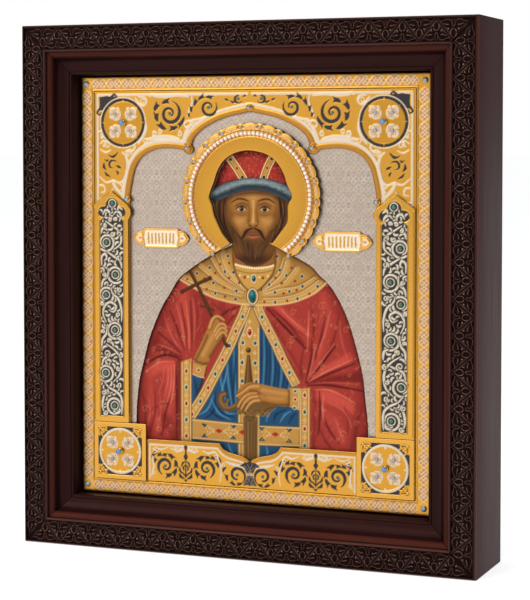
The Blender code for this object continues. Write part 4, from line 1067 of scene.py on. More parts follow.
def column(name, side):
    edge = [(-COVER_X, COLUMN_LOW), (-COLUMN_INNER, COLUMN_LOW), (-COLUMN_INNER, 251.5),
        (-97.8, 255.5), (-98.0, 259.5), (-100.2, 262.4), (-114.7, COLUMN_APEX), (-COVER_X, 262.6)]
    sheet = Sheet(np.sort(side * np.arange(97.5, COVER_X + 0.3, 0.499)),
        np.arange(COLUMN_LOW, COLUMN_APEX + 0.3, 0.5), COLUMN_GOLD)
    turned = -side
    sheet.cut([p for p in flip(edge, turned)])
    head = (ring_points(-106.6, 257.0, 4.3, 8, -100, 100) + ring_points(-113.8, 262.4, 5.4, 10, -8,
        188) + ring_points(-121.2, 257.0, 4.3, 8, 80, 280))
    panel = [(-104.2, 99.3), (-104.2, 250.5)] + head + [(-123.9, 250.5), (-123.9, 99.3)]
    sheet.area(flip(panel, turned), BLACK, -0.35)

    def vine(points, width):
        line = flip(smooth(points, 5), turned)
        sheet.stroke(line, [w + 1.0 for w in np.atleast_1d(width)], BLACK, 0.0, 0.4, 0.9)
        sheet.stroke(line, width, CREAM, 0.35, 0.35)

    for k, (x, z) in enumerate(COLUMN_STONES):
        way = 1 if x > -115 else -1
        sheet.disc(x * turned, z, 2.4, BLACK, 0.0, 0.4)
        sheet.ring(x * turned, z, 3.0, 0.9, CREAM, 0.3, 0.35)
        if k:
            vine(spiral(x, z, (4.6, 6.88), -70 if way > 0 else 250, way * 380, 20),
                (0.9, 1.5, 1.9, 1.5))
    stems = [[(-121, 101.5), (-122.4, 108), (-120.5, 115.5), (-114, 117.5)],
        [(-106, 101), (-105.6, 108), (-106.5, 114.5), (-111, 118.5), (-117, 121.5),
        (-121.5, 126.5)], [(-112, 101.5), (-108, 102.6), (-107.6, 106)],
        [(-122.8, 138), (-121, 143.4), (-115, 146), (-108.5, 149)],
        [(-113, 126), (-108, 131), (-106.2, 138), (-107.4, 145), (-112, 150.6), (-119, 155)],
        [(-105.6, 152), (-106.2, 158), (-110, 160)],
        [(-122.6, 150), (-122.4, 158), (-119, 163), (-118.2, 170)],
        [(-119, 172), (-121.6, 178), (-120.4, 184), (-115.5, 187.5), (-110.5, 184.5), (-112.5, 180),
        (-116.6, 181.5)],
        [(-106, 173), (-105.8, 181), (-108.2, 189.5), (-113.5, 194.5), (-114.6, 198.5)],
        [(-122.8, 199), (-121.6, 204), (-117.4, 208), (-117.4, 214)],
        [(-105.6, 214), (-106.8, 219), (-112, 222.6), (-118.4, 226.5)],
        [(-122.6, 216), (-122.6, 222.5), (-119.5, 224.5), (-118.4, 221), (-120.6, 219.6)],
        [(-112.6, 228), (-107, 232), (-106, 238), (-108.6, 243), (-114, 246.5), (-119.4, 250)],
        [(-123, 240.5), (-121.5, 244.6), (-117.2, 242.5)],
        [(-107.4, 250), (-106.2, 255), (-109.6, 257.6), (-112.4, 255)],
        [(-121.6, 255), (-119, 258.6), (-115.4, 256), (-116.4, 252)],
        [(-105, 259), (-108, 261), (-109, 258.4)]]
    for stem in stems:
        vine(stem, (0.8, 1.7, 2.0, 1.5, 0.8))
    curls = [(-108.2, 123.6, 2.2, 200, 1), (-106.8, 146.6, 2.0, 90, -1),
        (-118.4, 147.6, 2.8, 300, 1), (-107.6, 197.4, 2.1, 150, 1), (-107.4, 221.2, 2.3, 200, -1),
        (-107.4, 240.6, 2.2, 100, 1), (-121.2, 117.5, 2.1, 60, -1), (-116.5, 157.6, 1.9, 20, 1),
        (-122, 186, 1.7, 80, 1), (-108.6, 178, 1.9, 250, -1), (-120.6, 208.4, 1.8, 300, 1),
        (-113.4, 240, 2.0, 30, -1), (-119.6, 101.8, 1.9, 200, 1), (-108.5, 136, 1.8, 120, 1),
        (-121.6, 164.5, 1.6, 200, -1), (-115.2, 251, 1.7, 45, 1), (-110.6, 251.4, 1.5, 200, -1),
        (-119.4, 246.5, 1.6, 100, 1)]
    for x, z, size, start, way in curls:
        vine(spiral(x, z, (size, size * 5 / 19), start, way * 420, 15), (1.3, 1.0, 0.9))
    rng = np.random.default_rng(7)
    filled = 0
    for room, size, thick in ((1.15, 2.2, 1.7), (0.8, 1.6, 1.3), (0.6, 1.1, 1.0)):
        for z in np.arange(100.6, 264.0, 1.3):
            for x in np.arange(-122.8, -104.8, 1.3):
                spot = sheet.near(turned * x - room, turned * x + room, z - room, z + room)
                near_stone = min(dist((x, z), stone) for stone in COLUMN_STONES) < 3.9
                if near_stone or sheet.colour[spot][..., 0].max() > 0.3:
                    continue
                angle = rng.uniform(0, 2 * pi)
                leaf = [(x + size * cos(angle + turn) * far,
                    z + size * sin(angle + turn) * far) for turn,
                    far in ((0, 1.0), (0.7, 0.35), (3.4, 0.5), (4.0, 1.0))]
                vine(leaf, (0.4, thick, thick, 0.5))
                filled += 1
    print(name, "filled with", filled, "leaves")
    sheet.lay(everywhere, 1 - share_of(signed_distance(sheet.x, sheet.z, flip(panel, turned)), 0.5),
        COLUMN_GOLD)
    for x0 in (-124.5, -103.6):
        sheet.stroke(flip([(x0, 99.4), (x0, 250.6)], turned), 0.5, GOLD_DARK, -0.1, 0.4)
    sheet.stroke(flip([(-128.6, 97), (-128.6, 260)], turned), 0.5, GOLD_DARK, -0.15, 0.4)
    made = sheet.piece("enamelled_" + name, APPLIED_FRONT, APPLIED_BACK, CHASED)
    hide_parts(name)


column("column_left", -1)
column("column_right", 1)

# %% The corner squares
SQUARE_X, SQUARE_Z = 107.46, 72.5


def corner_square(name, side):
    cx, cz, half = side * SQUARE_X, SQUARE_Z, 22.0
    sheet = Sheet(np.linspace(cx - half, cx + half, 98), np.linspace(cz - half, cz + half, 98),
        ((208, 154, 66), 1.0, 0.26))
    inner = half - 3.4
    box = [(cx - inner, cz - inner), (cx + inner, cz - inner), (cx + inner, cz + inner),
        (cx - inner, cz + inner)]
    sheet.area(box, BLACK, -0.4, 0.45)
    for sx in (-1, 1):
        for sz in (-1, 1):
            x, z = cx + sx * 14.6, cz + sz * 14.6
            for loops in (
                    [(3.2, -3.0), (3.4, 1.2), (1.2, 3.4), (-3.0, 3.2), (-1.4, 0.4), (0.4, -1.4),
                    (3.2, -3.0)], [(-3.6, 0.4), (-0.6, 1.8), (1.8, -0.6), (0.4, -3.6)],
                    [(-0.8, -0.8), (3.4, 3.4)]):
                line = [(x + sx * u, z + sz * v) for u, v in loops]
                sheet.stroke(smooth(line, 4), 1.35, GOLD, 0.35, 0.4)
    sheet.ring(cx, cz, 16.9, 2.1, WHITE, 0.35, 0.45)
    sheet.disc(cx, cz, 16.1, GOLD, 0.15, 0.45)
    medallion(sheet, cx, cz, WHITE, 16.9, 1.5, 0.1)
    made = sheet.piece("medallion_" + name, APPLIED_FRONT, APPLIED_BACK, CHASED)
    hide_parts(name)


corner_square("corner_square_left", -1)
corner_square("corner_square_right", 1)

# %% The cartouches
def cartouche(name, side):
    """A small gilt plate with rows of shallow strokes on a pale field."""
    x0, x1, z = 49.66, 96.66, 237.5
    sheet = Sheet(np.sort(side * np.arange(x0, x1 + 0.2, 0.397)),
        np.arange(z - 7.6, z + 7.7, 0.397), ((214, 162, 84), 1.0, 0.3))
    edge = [(x0, z), (x0 + 2.0, z + 3.0), (x0 + 4.6, z + 5.0), (x0 + 8.4, z + 5.9),
        (x0 + 9.4, z + 7.2), (x0 + 13, z + 7.5), (x1 - 13, z + 7.5), (x1 - 9.4, z + 7.2),
        (x1 - 8.4, z + 5.9), (x1 - 4.6, z + 5.0), (x1 - 2.0, z + 3.0), (x1, z)]
    edge = edge + [(x, 2 * z - y) for x, y in reversed(edge[1:-1])]
    sheet.cut(flip(edge, side))
    field = [(x0 + 10.4, z - 5.9), (x1 - 10.4, z - 5.9), (x1 - 9.2, z), (x1 - 10.4, z + 5.9),
        (x0 + 10.4, z + 5.9), (x0 + 9.2, z)]
    sheet.area(flip(field, side), ((232, 214, 190), 0.5, 0.35), -0.3, 0.45)
    rng = np.random.default_rng(11 if side < 0 else 12)
    for k in range(8):
        x = x0 + 13.2 + 2.95 * k
        low, high = z - 4.2 + rng.uniform(0, 0.8), z + 4.2 - rng.uniform(0, 0.8)
        lean = rng.uniform(-0.4, 0.4)
        sheet.stroke(flip([(x, low), (x + lean, high)], side), (1.2, 0.9), GOLD, 0.3, 0.4)
        if k % 3 != 2:
            level = rng.uniform(z - 3, z + 3)
            sheet.stroke(flip([(x, level), (x + 1.7, level + rng.uniform(-0.9, 0.9))], side),
                (0.9, 0.5), GOLD, 0.25, 0.4)
    for x, way in ((x0 + 5.6, 1), (x1 - 5.6, -1)):
        heart = [(x - way * 3.6, z), (x - way * 1.2, z + 2.9), (x + way * 1.8, z + 3.2),
            (x + way * 2.9, z + 1.3), (x + way * 1.4, z), (x + way * 2.9, z - 1.3),
            (x + way * 1.8, z - 3.2), (x - way * 1.2, z - 2.9)]
        sheet.area(flip(heart, side), ((236, 205, 160), 0.6, 0.35), 0.15, 0.45)
        sheet.stroke(flip(heart + heart[:1], side), 0.6, ((214, 140, 52), 1.0, 0.35), 0.2, 0.35)
    made = sheet.piece("chased_" + name, 21.8, 23.2, CHASED)
    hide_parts(name)


cartouche("cartouche_left", -1)
cartouche("cartouche_right", 1)

# %% [markdown]
# ## The halo
#
# The halo is a raised gilt plate around the head: fine rays inside, a string of pearls, and a
# lobed rim with a pale stone on each short lobe. Its lobes follow the stones, so one function of
# the angle gives the whole rim.

# %% The halo plate
def halo_spot(radius, angle):
    """A point of the halo; the angle counts from straight down."""
    return (HALO_X + radius * sin(angle), HALO_Z - radius * cos(angle))


HALO_START = radians(33.5)
PEARL_R, STONE_R = 48.1, 52.7
STONE_FIRST = HALO_START + radians(2)
STONE_STEP = (2 * pi - 2 * STONE_FIRST) / 17
STONE_ANGLES = [STONE_FIRST + STONE_STEP * i for i in range(18)]


def rim_radius(angle):
    """Short lobe over each stone, longer lobe between two stones."""
    place_in = ((angle - STONE_FIRST) / STONE_STEP) % 1.0
    if place_in < 0.2 or place_in > 0.8:
        share = (place_in if place_in < 0.5 else 1 - place_in) / 0.2
    else:
        share = abs(place_in - 0.5) / 0.3
    return HALO_R - 1.7 * (1 - sqrt(max(0.0, 1 - share ** 2)))


turns = np.linspace(HALO_START, 2 * pi - HALO_START, 420)
rim = [halo_spot(rim_radius(t), t) for t in turns]
halo = Sheet(np.arange(HALO_X - 56, HALO_X + 56.1, 0.4), np.arange(220, 325.6, 0.4), GOLD)
halo.cut(rim)
halo.cut(head_hole, inner=False)
halo.cut([(-60, 190), (60, 190)] + smooth([(60, 209), (50, 218), (35, 226), (22, 233), (15, 236)],
    3) + smooth([(-13, 236), (-25, 229), (-38, 222), (-50, 214), (-60, 207)], 3), inner=False)
angle = np.arctan2(halo.x - HALO_X, HALO_Z - halo.z) % (2 * pi)
radius = np.hypot(halo.x - HALO_X, halo.z - HALO_Z)
rays = 0.5 + 0.5 * np.cos(angle * 150)
inner_field = share_of(radius - 45.0, 0.8)
near_pearls = inner_field * share_of(40.0 - radius, 9.0)
halo.lay(everywhere, inner_field, ((202, 148, 58), 1.0, 0.3))
halo.lay(everywhere, near_pearls * rays * 0.5, ((160, 106, 42), 1.0, 0.36), -0.08)
halo.lay(everywhere, share_of(np.abs(radius - PEARL_R) - 2.2, 0.6), ((226, 178, 110), 1.0, 0.36),
    -0.35)
for wire in (45.3, 50.8):
    halo.ring(HALO_X, HALO_Z, wire, 0.6, GOLD_LIGHT, 0.12, 0.4)
for i, t in enumerate(STONE_ANGLES):
    stone = halo_spot(STONE_R, t)
    halo.disc(*stone, 2.3, ((204, 138, 56), 1.0, 0.32), 0.08)
    halo.disc(*halo_spot(52.9, t + 0.045), 0.75, ((150, 70, 40), 0.6, 0.4), -0.1, 0.3)
    if i < 17:
        middle = t + STONE_STEP / 2
        leaf = [halo_spot(r, middle + way) for r,
            way in ((52.4, -0.085), (53.9, -0.03), (53.9, 0.03), (52.4, 0.085), (51.6, 0.03),
            (51.6, -0.03))]
        halo.area(smooth(leaf + leaf[:1], 3), ((214, 166, 104), 0.95, 0.34), 0.08, 0.5, 0.8)
        lace = [halo_spot(r, middle + way) for r,
            way in ((51.2, -0.1), (52.8, -0.05), (51.7, 0.0), (52.8, 0.05), (51.2, 0.1))]
        halo.stroke(smooth(lace, 4), 0.4, WHITE, 0.05, 0.35, 0.7)
        for way in (-0.075, 0.0, 0.075):
            halo.disc(*halo_spot(51.5, middle + way), 0.4, ((150, 78, 42), 0.6, 0.4), -0.08, 0.3,
                0.8)
        for way in (-1, 1):
            halo.stroke(
                [halo_spot(54.6, middle + way * 0.12), halo_spot(52.6, middle + way * 0.10),
                halo_spot(51.8, middle + way * 0.125)], (0.8, 0.5), GOLD_DARK, -0.15, 0.35)
halo.stroke([halo_spot(rim_radius(t) - 0.55, t) for t in turns], 0.7, GOLD_LIGHT, -0.1, 0.4)
halo.stroke(head_hole, 0.9, ((184, 122, 52), 1.0, 0.3), -0.3)
# Its walls keep a tenth of their colour: a dark painted shade round the halo's edges.
made = halo.piece("rayed_halo", HALO_FRONT, HALO_BACK, CHASED, 0.1)
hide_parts("halo_plate")

# %% [markdown]
# ## The painting
#
# The figure is painted on the board in thin oil: a red cloak with dark folds and worn gold
# threads, a gilt collar and bands set with painted stones, and a blue tunic. It is one more
# sheet, almost without height, painted as a painter works: broad areas first, then folds, then
# the small bright touches.

# %% Paints, and the ground colours of the figure
def paint(r, g, b, rough=0.42):
    return ((r, g, b), 0.0, rough)


CLOAK, CLOAK_DARK, CLOAK_DEEP = paint(154, 50, 40), paint(106, 24, 18), paint(68, 10, 10)
CLOAK_LIGHT, CLOAK_PALE, THREAD = paint(190, 72, 58), paint(214, 112, 90), paint(217, 150, 100)
BLUE, BLUE_DARK, BLUE_LIGHT = paint(28, 70, 100), paint(6, 30, 60), paint(88, 144, 172)
BROCADE, BROCADE_DARK, BROCADE_LIGHT = paint(180, 132, 62), paint(98, 58, 18), paint(214, 168, 98)
BEAD, RUBY, TEAL, TEAL_DEEP = paint(232, 208, 162), paint(164, 34, 26), paint(30, 84, 94), paint(8,
    36, 50)
SKIN, SKIN_DARK, SKIN_LIGHT = paint(160, 106, 46), paint(92, 52, 16), paint(206, 156, 92)
WOOD_DARK, STEEL, STEEL_LIGHT = paint(70, 36, 14), paint(108, 76, 36), paint(152, 115, 64)


def brush(sheet, rows):
    """Soft strokes, each given by its points, width, paint, strength and softness."""
    for points, width, finish, strength, soft in rows:
        sheet.stroke(smooth(points, 5), width, finish, 0.0, soft, strength)


body = Sheet(np.arange(-95.4, 94.0, 0.6), np.arange(60.0, 236.0, 0.6), CLOAK)
body.cut([(x * 1.006, z) for x, z in smooth(LEFT_SIDE, 3)] + [(-16, 236),
    (20, 236)] + [(x * 1.006, z) for x, z in smooth(RIGHT_SIDE, 3)])
rim_distance = -signed_distance(body.x, body.z,
    smooth(LEFT_SIDE, 3) + [(-15, 250), (19, 250)] + smooth(RIGHT_SIDE, 3))

# %% Folds of the cloak
FOLD = (0.6, 2.0, 1.0)
brush(body, (([(-58, 202), (-55, 180), (-52, 156)], 8, CLOAK_LIGHT, 0.6, 5),
    ([(-85, 134), (-74, 139), (-64, 140)], 8, CLOAK_LIGHT, 0.85, 5),
    ([(-68, 138), (-67, 120), (-70, 104)], 7, CLOAK_LIGHT, 0.6, 4),
    ([(-86, 128), (-82, 112), (-78, 92)], 6, CLOAK_LIGHT, 0.4, 5),
    ([(-80, 158), (-72, 152), (-62, 148)], 6, CLOAK_DARK, 0.6, 5),
    ([(-72, 180), (-76, 166), (-84, 150)], 5, CLOAK_DARK, 0.5, 5),
    ([(-44, 196), (-36, 184), (-42, 160)], 9, CLOAK_DARK, 0.35, 7),
    ([(-24, 188), (-22, 176), (-30, 168)], 5, CLOAK_DARK, 0.45, 5),
    ([(-59.6, 144), (-59.6, 84)], 2.8, CLOAK_DARK, 0.7, 1.5),
    ([(-72, 102), (-66, 92), (-64, 84)], 6, CLOAK_DARK, 0.5, 5),
    ([(22, 187), (32, 178), (44, 168)], 5, CLOAK_LIGHT, 0.75, 4),
    ([(58, 196), (60, 178), (54, 156)], 6, CLOAK_LIGHT, 0.5, 6),
    ([(18, 174), (28, 157), (40, 138)], 4, CLOAK_DARK, 0.5, 4),
    ([(46, 134), (60, 143), (78, 152)], (1, 5, 7), CLOAK_LIGHT, 0.85, 3),
    ([(46, 131), (62, 135), (86, 138)], (1, 4, 8), CLOAK_DARK, 0.8, 3),
    ([(45, 134), (52, 146), (56, 160)], (1, 4, 3), CLOAK_LIGHT, 0.5, 3),
    ([(51, 123), (64, 122), (82, 114)], (6, 10, 6), CLOAK_LIGHT, 0.9, 4),
    ([(52, 112), (64, 106), (72, 92)], 8, CLOAK_LIGHT, 0.4, 6),
    ([(50, 126), (50.6, 110), (50, 84)], 3, CLOAK_DARK, 0.6, 3),
    ([(84, 116), (83, 100), (80, 86)], 4, CLOAK_DARK, 0.5, 4),
    ([(-30, 156), (-38, 136), (-46, 118)], 3, CLOAK_DARK, 0.5, 4)))
# Darker towards the outline: the painting's own dark contour, and painted shade where the edge of
# the silver ground overhangs it.
body.lay(everywhere, share_of(rim_distance - 5.0, 9.0) * 0.6, CLOAK_DARK)
body.lay(everywhere, share_of(rim_distance - 1.4, 2.6) * 0.75, CLOAK_DEEP)
brush(body, [([(x, z), (mx, mz), (tx, tz)], FOLD, finish, strength, 1.3) for x, z, mx, mz, tx, tz,
    finish, strength in ((-57, 145, -72, 148, -90, 139, CLOAK_DEEP, 0.85),
    (-57, 147, -67, 151, -80, 151, CLOAK_DARK, 0.8),
    (-58, 150, -66, 157, -77, 165, CLOAK_DEEP, 0.55),
    (-55, 152, -60, 166, -67, 182, CLOAK_DEEP, 0.6),
    (-53, 152, -54, 168, -58, 188, CLOAK_DARK, 0.8),
    (-49, 152, -49, 170, -50, 190, CLOAK_DEEP, 0.5),
    (-45, 168, -44, 180, -46, 194, CLOAK_DARK, 0.6),
    (-62, 143, -61.6, 116, -62, 84, CLOAK_DEEP, 0.8),
    (-65, 120, -71, 104, -74, 86, CLOAK_DEEP, 0.6), (-80, 122, -80, 104, -84, 88, CLOAK_DARK, 0.6),
    (-92, 122, -88, 106, -89, 88, CLOAK_DEEP, 0.4), (-66, 110, -74, 110, -84, 104, CLOAK_DARK, 0.5),
    (-64, 96, -70, 94, -76, 86, CLOAK_DARK, 0.6), (-10, 187, -18, 184, -27, 178, CLOAK_DEEP, 0.7),
    (-9, 185, -16, 178, -21, 171, CLOAK_DARK, 0.7), (-34, 192, -28, 186, -20, 183, CLOAK_DARK, 0.5),
    (-36, 138, -42, 124, -46, 112, CLOAK_DEEP, 0.7), (11, 188, 27, 173, 44, 157, CLOAK_DEEP, 0.95),
    (12, 188, 28, 177, 43, 160, CLOAK_DARK, 0.8), (17, 187, 33, 173, 45, 166, CLOAK_DARK, 0.5),
    (48, 189, 50, 172, 47, 156, CLOAK_DARK, 0.7), (60, 186, 56, 168, 51, 150, CLOAK_DEEP, 0.6),
    (70, 186, 66, 166, 58, 148, CLOAK_DARK, 0.6), (44, 132, 54, 144, 67, 160, CLOAK_DEEP, 0.85),
    (44.6, 131.4, 61, 139, 82, 148, CLOAK_DEEP, 0.7),
    (43.6, 133, 47, 146, 49, 160, CLOAK_DEEP, 0.7), (45, 130, 62, 131, 88, 128, CLOAK_DEEP, 0.8),
    (41, 134, 40, 146, 42, 158, CLOAK_DARK, 0.6), (54.4, 126, 55, 110, 53.6, 94, CLOAK_DEEP, 0.75),
    (58, 107, 62, 98, 70, 88, CLOAK_DEEP, 0.6), (55, 98, 59, 90, 64, 84, CLOAK_DARK, 0.8),
    (89, 118, 84, 104, 82, 86, CLOAK_DARK, 0.6), (74, 116, 77, 104, 76, 92, CLOAK_DARK, 0.5))])
brush(body, [([(x, z), (mx, mz), (tx, tz)], (0.4, 1.2, 0.5), CLOAK_PALE, strength, 0.9) for x, z,
    mx, mz, tx, tz,
    strength in ((-63.6, 141, -64.2, 124, -67, 110, 0.85),
    (-66.2, 140, -66.2, 126, -69.4, 112, 0.7), (-69, 139, -69, 128, -72, 116, 0.6),
    (-72.6, 139, -73, 130, -77, 118, 0.45), (-64, 143, -76, 142, -88, 134, 0.7),
    (-55, 156, -57, 170, -62, 188, 0.6), (-51, 154, -51.4, 170, -54, 190, 0.7),
    (-58, 153, -66, 163, -72, 178, 0.5), (-59, 148.6, -68, 153, -78, 156, 0.6),
    (-47, 160, -46.6, 176, -48, 192, 0.5), (-76, 118, -75, 104, -78, 90, 0.4),
    (-86, 116, -84, 104, -87, 90, 0.4), (24, 186, 34, 177, 43, 171, 0.6),
    (46, 186, 45.6, 172, 45, 159, 0.8), (63, 186, 59, 170, 53, 154, 0.5),
    (46, 132.6, 60, 141, 80, 150.6, 0.8), (45, 133.6, 55, 147, 66, 162, 0.6),
    (45.4, 135, 49, 148, 51, 160, 0.6), (50, 127, 64, 127, 82, 119, 0.8),
    (58, 124, 57, 113, 58, 104, 0.8), (62, 118, 74, 112, 80, 100, 0.5),
    (66, 108, 70, 98, 74, 88, 0.45), (46, 131, 64, 133, 86, 133, 0.4),
    (20, 168, 30, 152, 38, 140, 0.4), (70, 178, 72, 164, 76, 152, 0.4))])
rng = np.random.default_rng(21)
for k in range(620):
    x, z = rng.uniform(-92, 90), rng.uniform(84, 208)
    lean, size = rng.uniform(0.5, 1.3) * (1 if rng.uniform() > 0.35 else -1), rng.uniform(0.8, 3.6)
    finish = THREAD if k % 3 else CLOAK_PALE
    body.stroke([(x, z), (x + size * cos(lean), z + size * 1.3 * sin(lean))], (0.2, 0.6, 0.2),
        finish, 0.0, 0.5, rng.uniform(0.35, 0.8))
    if k % 7 == 0:
        body.stroke(spiral(x, z, (size, 0.4), 40 * lean, 380), 0.35, THREAD, 0.0, 0.5, 0.6)
print("cloak painted on", body.x.size, "points")

# %% The blue tunic
tunic = [(-49, 60), (-49, 134), (-38, 131), (-34, 128), (-20, 152), (-10, 166), (-8, 178), (0, 190),
    (35.4, 131), (38.4, 126), (38.4, 60)]
body.area(tunic, BLUE, 0.0, 0.8)
body.area([(-38, 133), (-36.6, 141), (-38, 150), (-22, 162), (-12, 180), (-20, 150), (-38, 122),
    (-48, 108), (-47, 113), (-42, 122)], CLOAK, 0.0, 0.8)
body.stroke([(-37, 140), (-42, 123), (-47.6, 111)], (1, 2.4, 1), CLOAK_DEEP, 0.0, 1.6, 0.7)
for k in range(13):
    x = 7.6 + k * 2.3
    top = 176 - (x - 6) * 1.75
    body.stroke(smooth([(x, top), (x + 0.6, (top + 128) / 2), (x - 0.6, 127)], 5), (0.5, 1.3, 0.8),
        BLUE_LIGHT if k % 3 == 1 else BLUE_DARK, 0.0, 1.0, 0.62 if k % 3 == 1 else 0.8)
for k in range(6):
    x = -11.6 - k * 2.7
    top = 160 + (x + 12) * 1.8
    body.stroke(smooth([(x, top), (x + 0.6, (top + 118) / 2), (x + 1.0 + k, 110)], 5),
        (0.6, 1.6, 1.0), BLUE_LIGHT if k % 2 else BLUE_DARK, 0.0, 1.0, 0.6)
brush(body, [(line, (0.5, 1.7, 0.6), finish, 0.7, 1.0) for line,
    finish in (([(-44, 103), (-36, 108), (-31, 119)], BLUE_LIGHT),
    ([(-38, 101), (-31, 107), (-29, 122)], BLUE_DARK),
    ([(-33, 116), (-27, 106), (-17, 101)], BLUE_LIGHT),
    ([(-35, 108), (-28, 103), (-22, 101)], BLUE_DARK),
    ([(-29, 113), (-24, 106), (-14, 103)], BLUE_DARK),
    ([(-24, 111), (-20, 106), (-13, 106)], BLUE_LIGHT),
    ([(-25, 120), (-22, 130), (-19, 142)], BLUE_LIGHT),
    ([(-15, 118), (-14, 132), (-13, 150)], BLUE_DARK),
    ([(12, 101), (14, 107), (20, 112)], BLUE_LIGHT), ([(18, 101), (20, 107), (28, 111)], BLUE_DARK),
    ([(23, 101), (27, 107), (32, 110)], BLUE_LIGHT), ([(30, 101), (33, 106), (36, 109)], BLUE_DARK),
    ([(-19, 83), (-17, 78), (-14, 75)], BLUE_LIGHT), ([(12, 83), (13, 78), (12, 75)], BLUE_LIGHT),
    ([(-47, 131), (-45, 123), (-45, 116)], BLUE_DARK),
    ([(-47, 83.4), (-36, 81.6), (-24, 80)], BLUE_DARK))])

# %% Gilt bands with painted beads and stones
def along(points, spots):
    """Points at the given distances along a line."""
    p = np.array(points, float)
    run = np.concatenate([[0], np.cumsum(np.hypot(*np.diff(p, axis=0).T))])
    return [(np.interp(s, run, p[:, 0]), np.interp(s, run, p[:, 1])) for s in spots if s < run[-1]]


def beads(points, pitch, radius, finish=BEAD, sheet=None, strength=0.9):
    """A row of small dots along a line."""
    for x, z in along(points, np.arange(pitch / 2, 400, pitch)):
        (sheet or body).disc(x, z, radius, finish, 0.03, 0.5, strength)


def jewel(x, z, size, red, stretch=1.35):
    body.disc(x, z, size + 0.6, BEAD, 0.0, 0.5, 0.75, stretch)
    body.disc(x, z, size, RUBY if red else TEAL, 0.0, 0.5, 1.0, stretch)
    body.disc(x + size * 0.2, z - size * 0.3, size * 0.5, CLOAK_DEEP if red else TEAL_DEEP, 0.0,
        0.6, 0.8, stretch)
    body.disc(x - size * 0.3, z + size * 0.5, size * 0.28, paint(236, 226, 214), 0.0, 0.5, 0.7)


def cross_of_beads(x, z, reach=1.3):
    for u, v in ((0, 0), (1, 0), (-1, 0), (0, 1.2), (0, -1.2)):
        body.disc(x + u * reach, z + v * reach, 0.4, BEAD, 0.02, 0.5, 0.85)


def band(centre, width, stones, first_red, pitch, start, outline=None):
    """A gilt band with beaded edges, stones in turn and crosses of beads between them."""
    line = smooth(centre, 8)
    body.area(outline or shifted(line, width / 2) + shifted(line, -width / 2)[::-1], BROCADE, 0.04)
    body.stroke(line, width * 0.3, BROCADE_LIGHT, 0.0, 3.0, 0.35)
    for side in (-1, 1):
        body.stroke(shifted(line, side * (width / 2 - 0.2)), 0.6, BROCADE_DARK, 0.0, 0.5, 0.6)
        body.stroke(shifted(line, side * (width / 2 - 2.1)), 0.4, BROCADE_DARK, 0.0, 0.5, 0.5)
        beads(shifted(line, side * (width / 2 - 1.2)), 1.5, 0.45)
    for k, (x, z) in enumerate(along(line, [start + pitch * k for k in range(stones)])):
        jewel(x, z, 1.2, (k % 2 == 0) == first_red)
    for x, z in along(line,
            [start + pitch * (k + 0.5) for k in range(-1,
            stones) if start + pitch * (k + 0.5) > 1]):
        cross_of_beads(x, z)


body.area([(-10.8, 60), (-10.8, 160), (-6, 170), (0, 188), (6.6, 174), (6.6, 60)], BROCADE, 0.03)
body.stroke([(-6, 62), (-6, 160)], 2.0, BROCADE_LIGHT, 0.0, 3.0, 0.4)
for x in (-9.8, 5.6):
    beads([(x, 62), (x, 160 if x < 0 else 172)], 1.5, 0.45)
    body.stroke([(x * 0.86 - 0.2, 62), (x * 0.86 - 0.2, 158)], 0.4, BROCADE_DARK, 0.0, 0.5, 0.5)
beads([(-9, 162), (-5, 172), (-0.6, 186)], 1.5, 0.45)
body.stroke([(-1.4, 172.4), (0.8, 168), (-1.4, 163.6), (-3.6, 168), (-1.4, 172.4)], 0.5, BEAD, 0.0,
    0.5, 0.7)
for z, x, red in ((168, -1.4, True), (160, -7, False), (160, 3, False), (145, -7.6, False),
        (145, 3, False), (131, -7.6, False), (131, 4, False), (180, -6.6, False)):
    jewel(x, z, 1.7 if red else 1.3, red, 1.5 if red else 1.2)
for x, z in ((-1.4, 176), (-6, 165.6), (2.8, 165.6), (-7.6, 152.5), (2.8, 152.5), (-8, 138),
        (3.5, 138), (-8, 110), (-8, 118)):
    cross_of_beads(x, z, 1.0)
band([(-4, 188), (-7, 180), (-12, 170), (-16.5, 160), (-21.5, 150), (-27, 140), (-32.5, 130),
    (-38, 120), (-44.5, 110), (-50, 102)], 8.8, 8, False, 12.4, 9.0)
band([(4.6, 188), (8.5, 180), (14, 170), (19.5, 160), (24.5, 150), (30, 140), (36.2, 129.6)], 8.0,
    6, False, 11.6, 9.0)
band([(-53.6, 60), (-53.6, 143)], 9.2, 8, False, 12.4, 14.4,
    [(-58.2, 60), (-58.2, 143), (-49, 146.4), (-49, 60)])
band([(42.8, 60), (42.8, 127)], 8.8, 6, True, 12.6, 12.4,
    [(38.4, 60), (38.4, 127), (47.2, 128.4), (47.2, 60)])
for hem in ([(-48.6, 84.6), (-48.6, 100.2), (-6, 98.6), (-6, 83.4)],
        [(6, 82.8), (6, 98.0), (38.4, 98.6), (38.4, 83.6)]):
    body.area(hem, BROCADE, 0.03)
    for a, b in ((hem[1], hem[2]), (hem[0], hem[3])):
        inside = -1 if a is hem[1] else 1
        beads([(a[0], a[1] + inside), (b[0], b[1] + inside)], 1.5, 0.45)
        body.stroke([a, b], 0.6, BROCADE_DARK, 0.0, 0.6, 0.7)
for x in (-38.4, -15, 8.6, 30.4):
    for z, way in ((96.0, -1), (87.4, 1)):
        body.area([(x - 2.6, z - way * 0.9), (x + 2.6, z - way * 0.9), (x, z + way * 1.9)],
            TEAL_DEEP)
        body.disc(x, z + way * 0.1, 0.7, TEAL, 0.0, 0.6)
for x in (-26.6, -7.2, 19.4):
    body.area([(x - 3.1, 92), (x, 90.2), (x + 3.1, 92), (x, 93.8)], RUBY)
    for k in range(6):
        for way in (-1, 1):
            for u, v in ((4.2 + k * 1.3, (k % 2) * 2.4 - 1.2), (4.2 + k * 1.3, k * 0.9),
                    (4.2 + k * 1.3, -k * 0.9)):
                body.disc(x + way * u, 92 + v, 0.4, BEAD, 0.02, 0.5, 0.8)
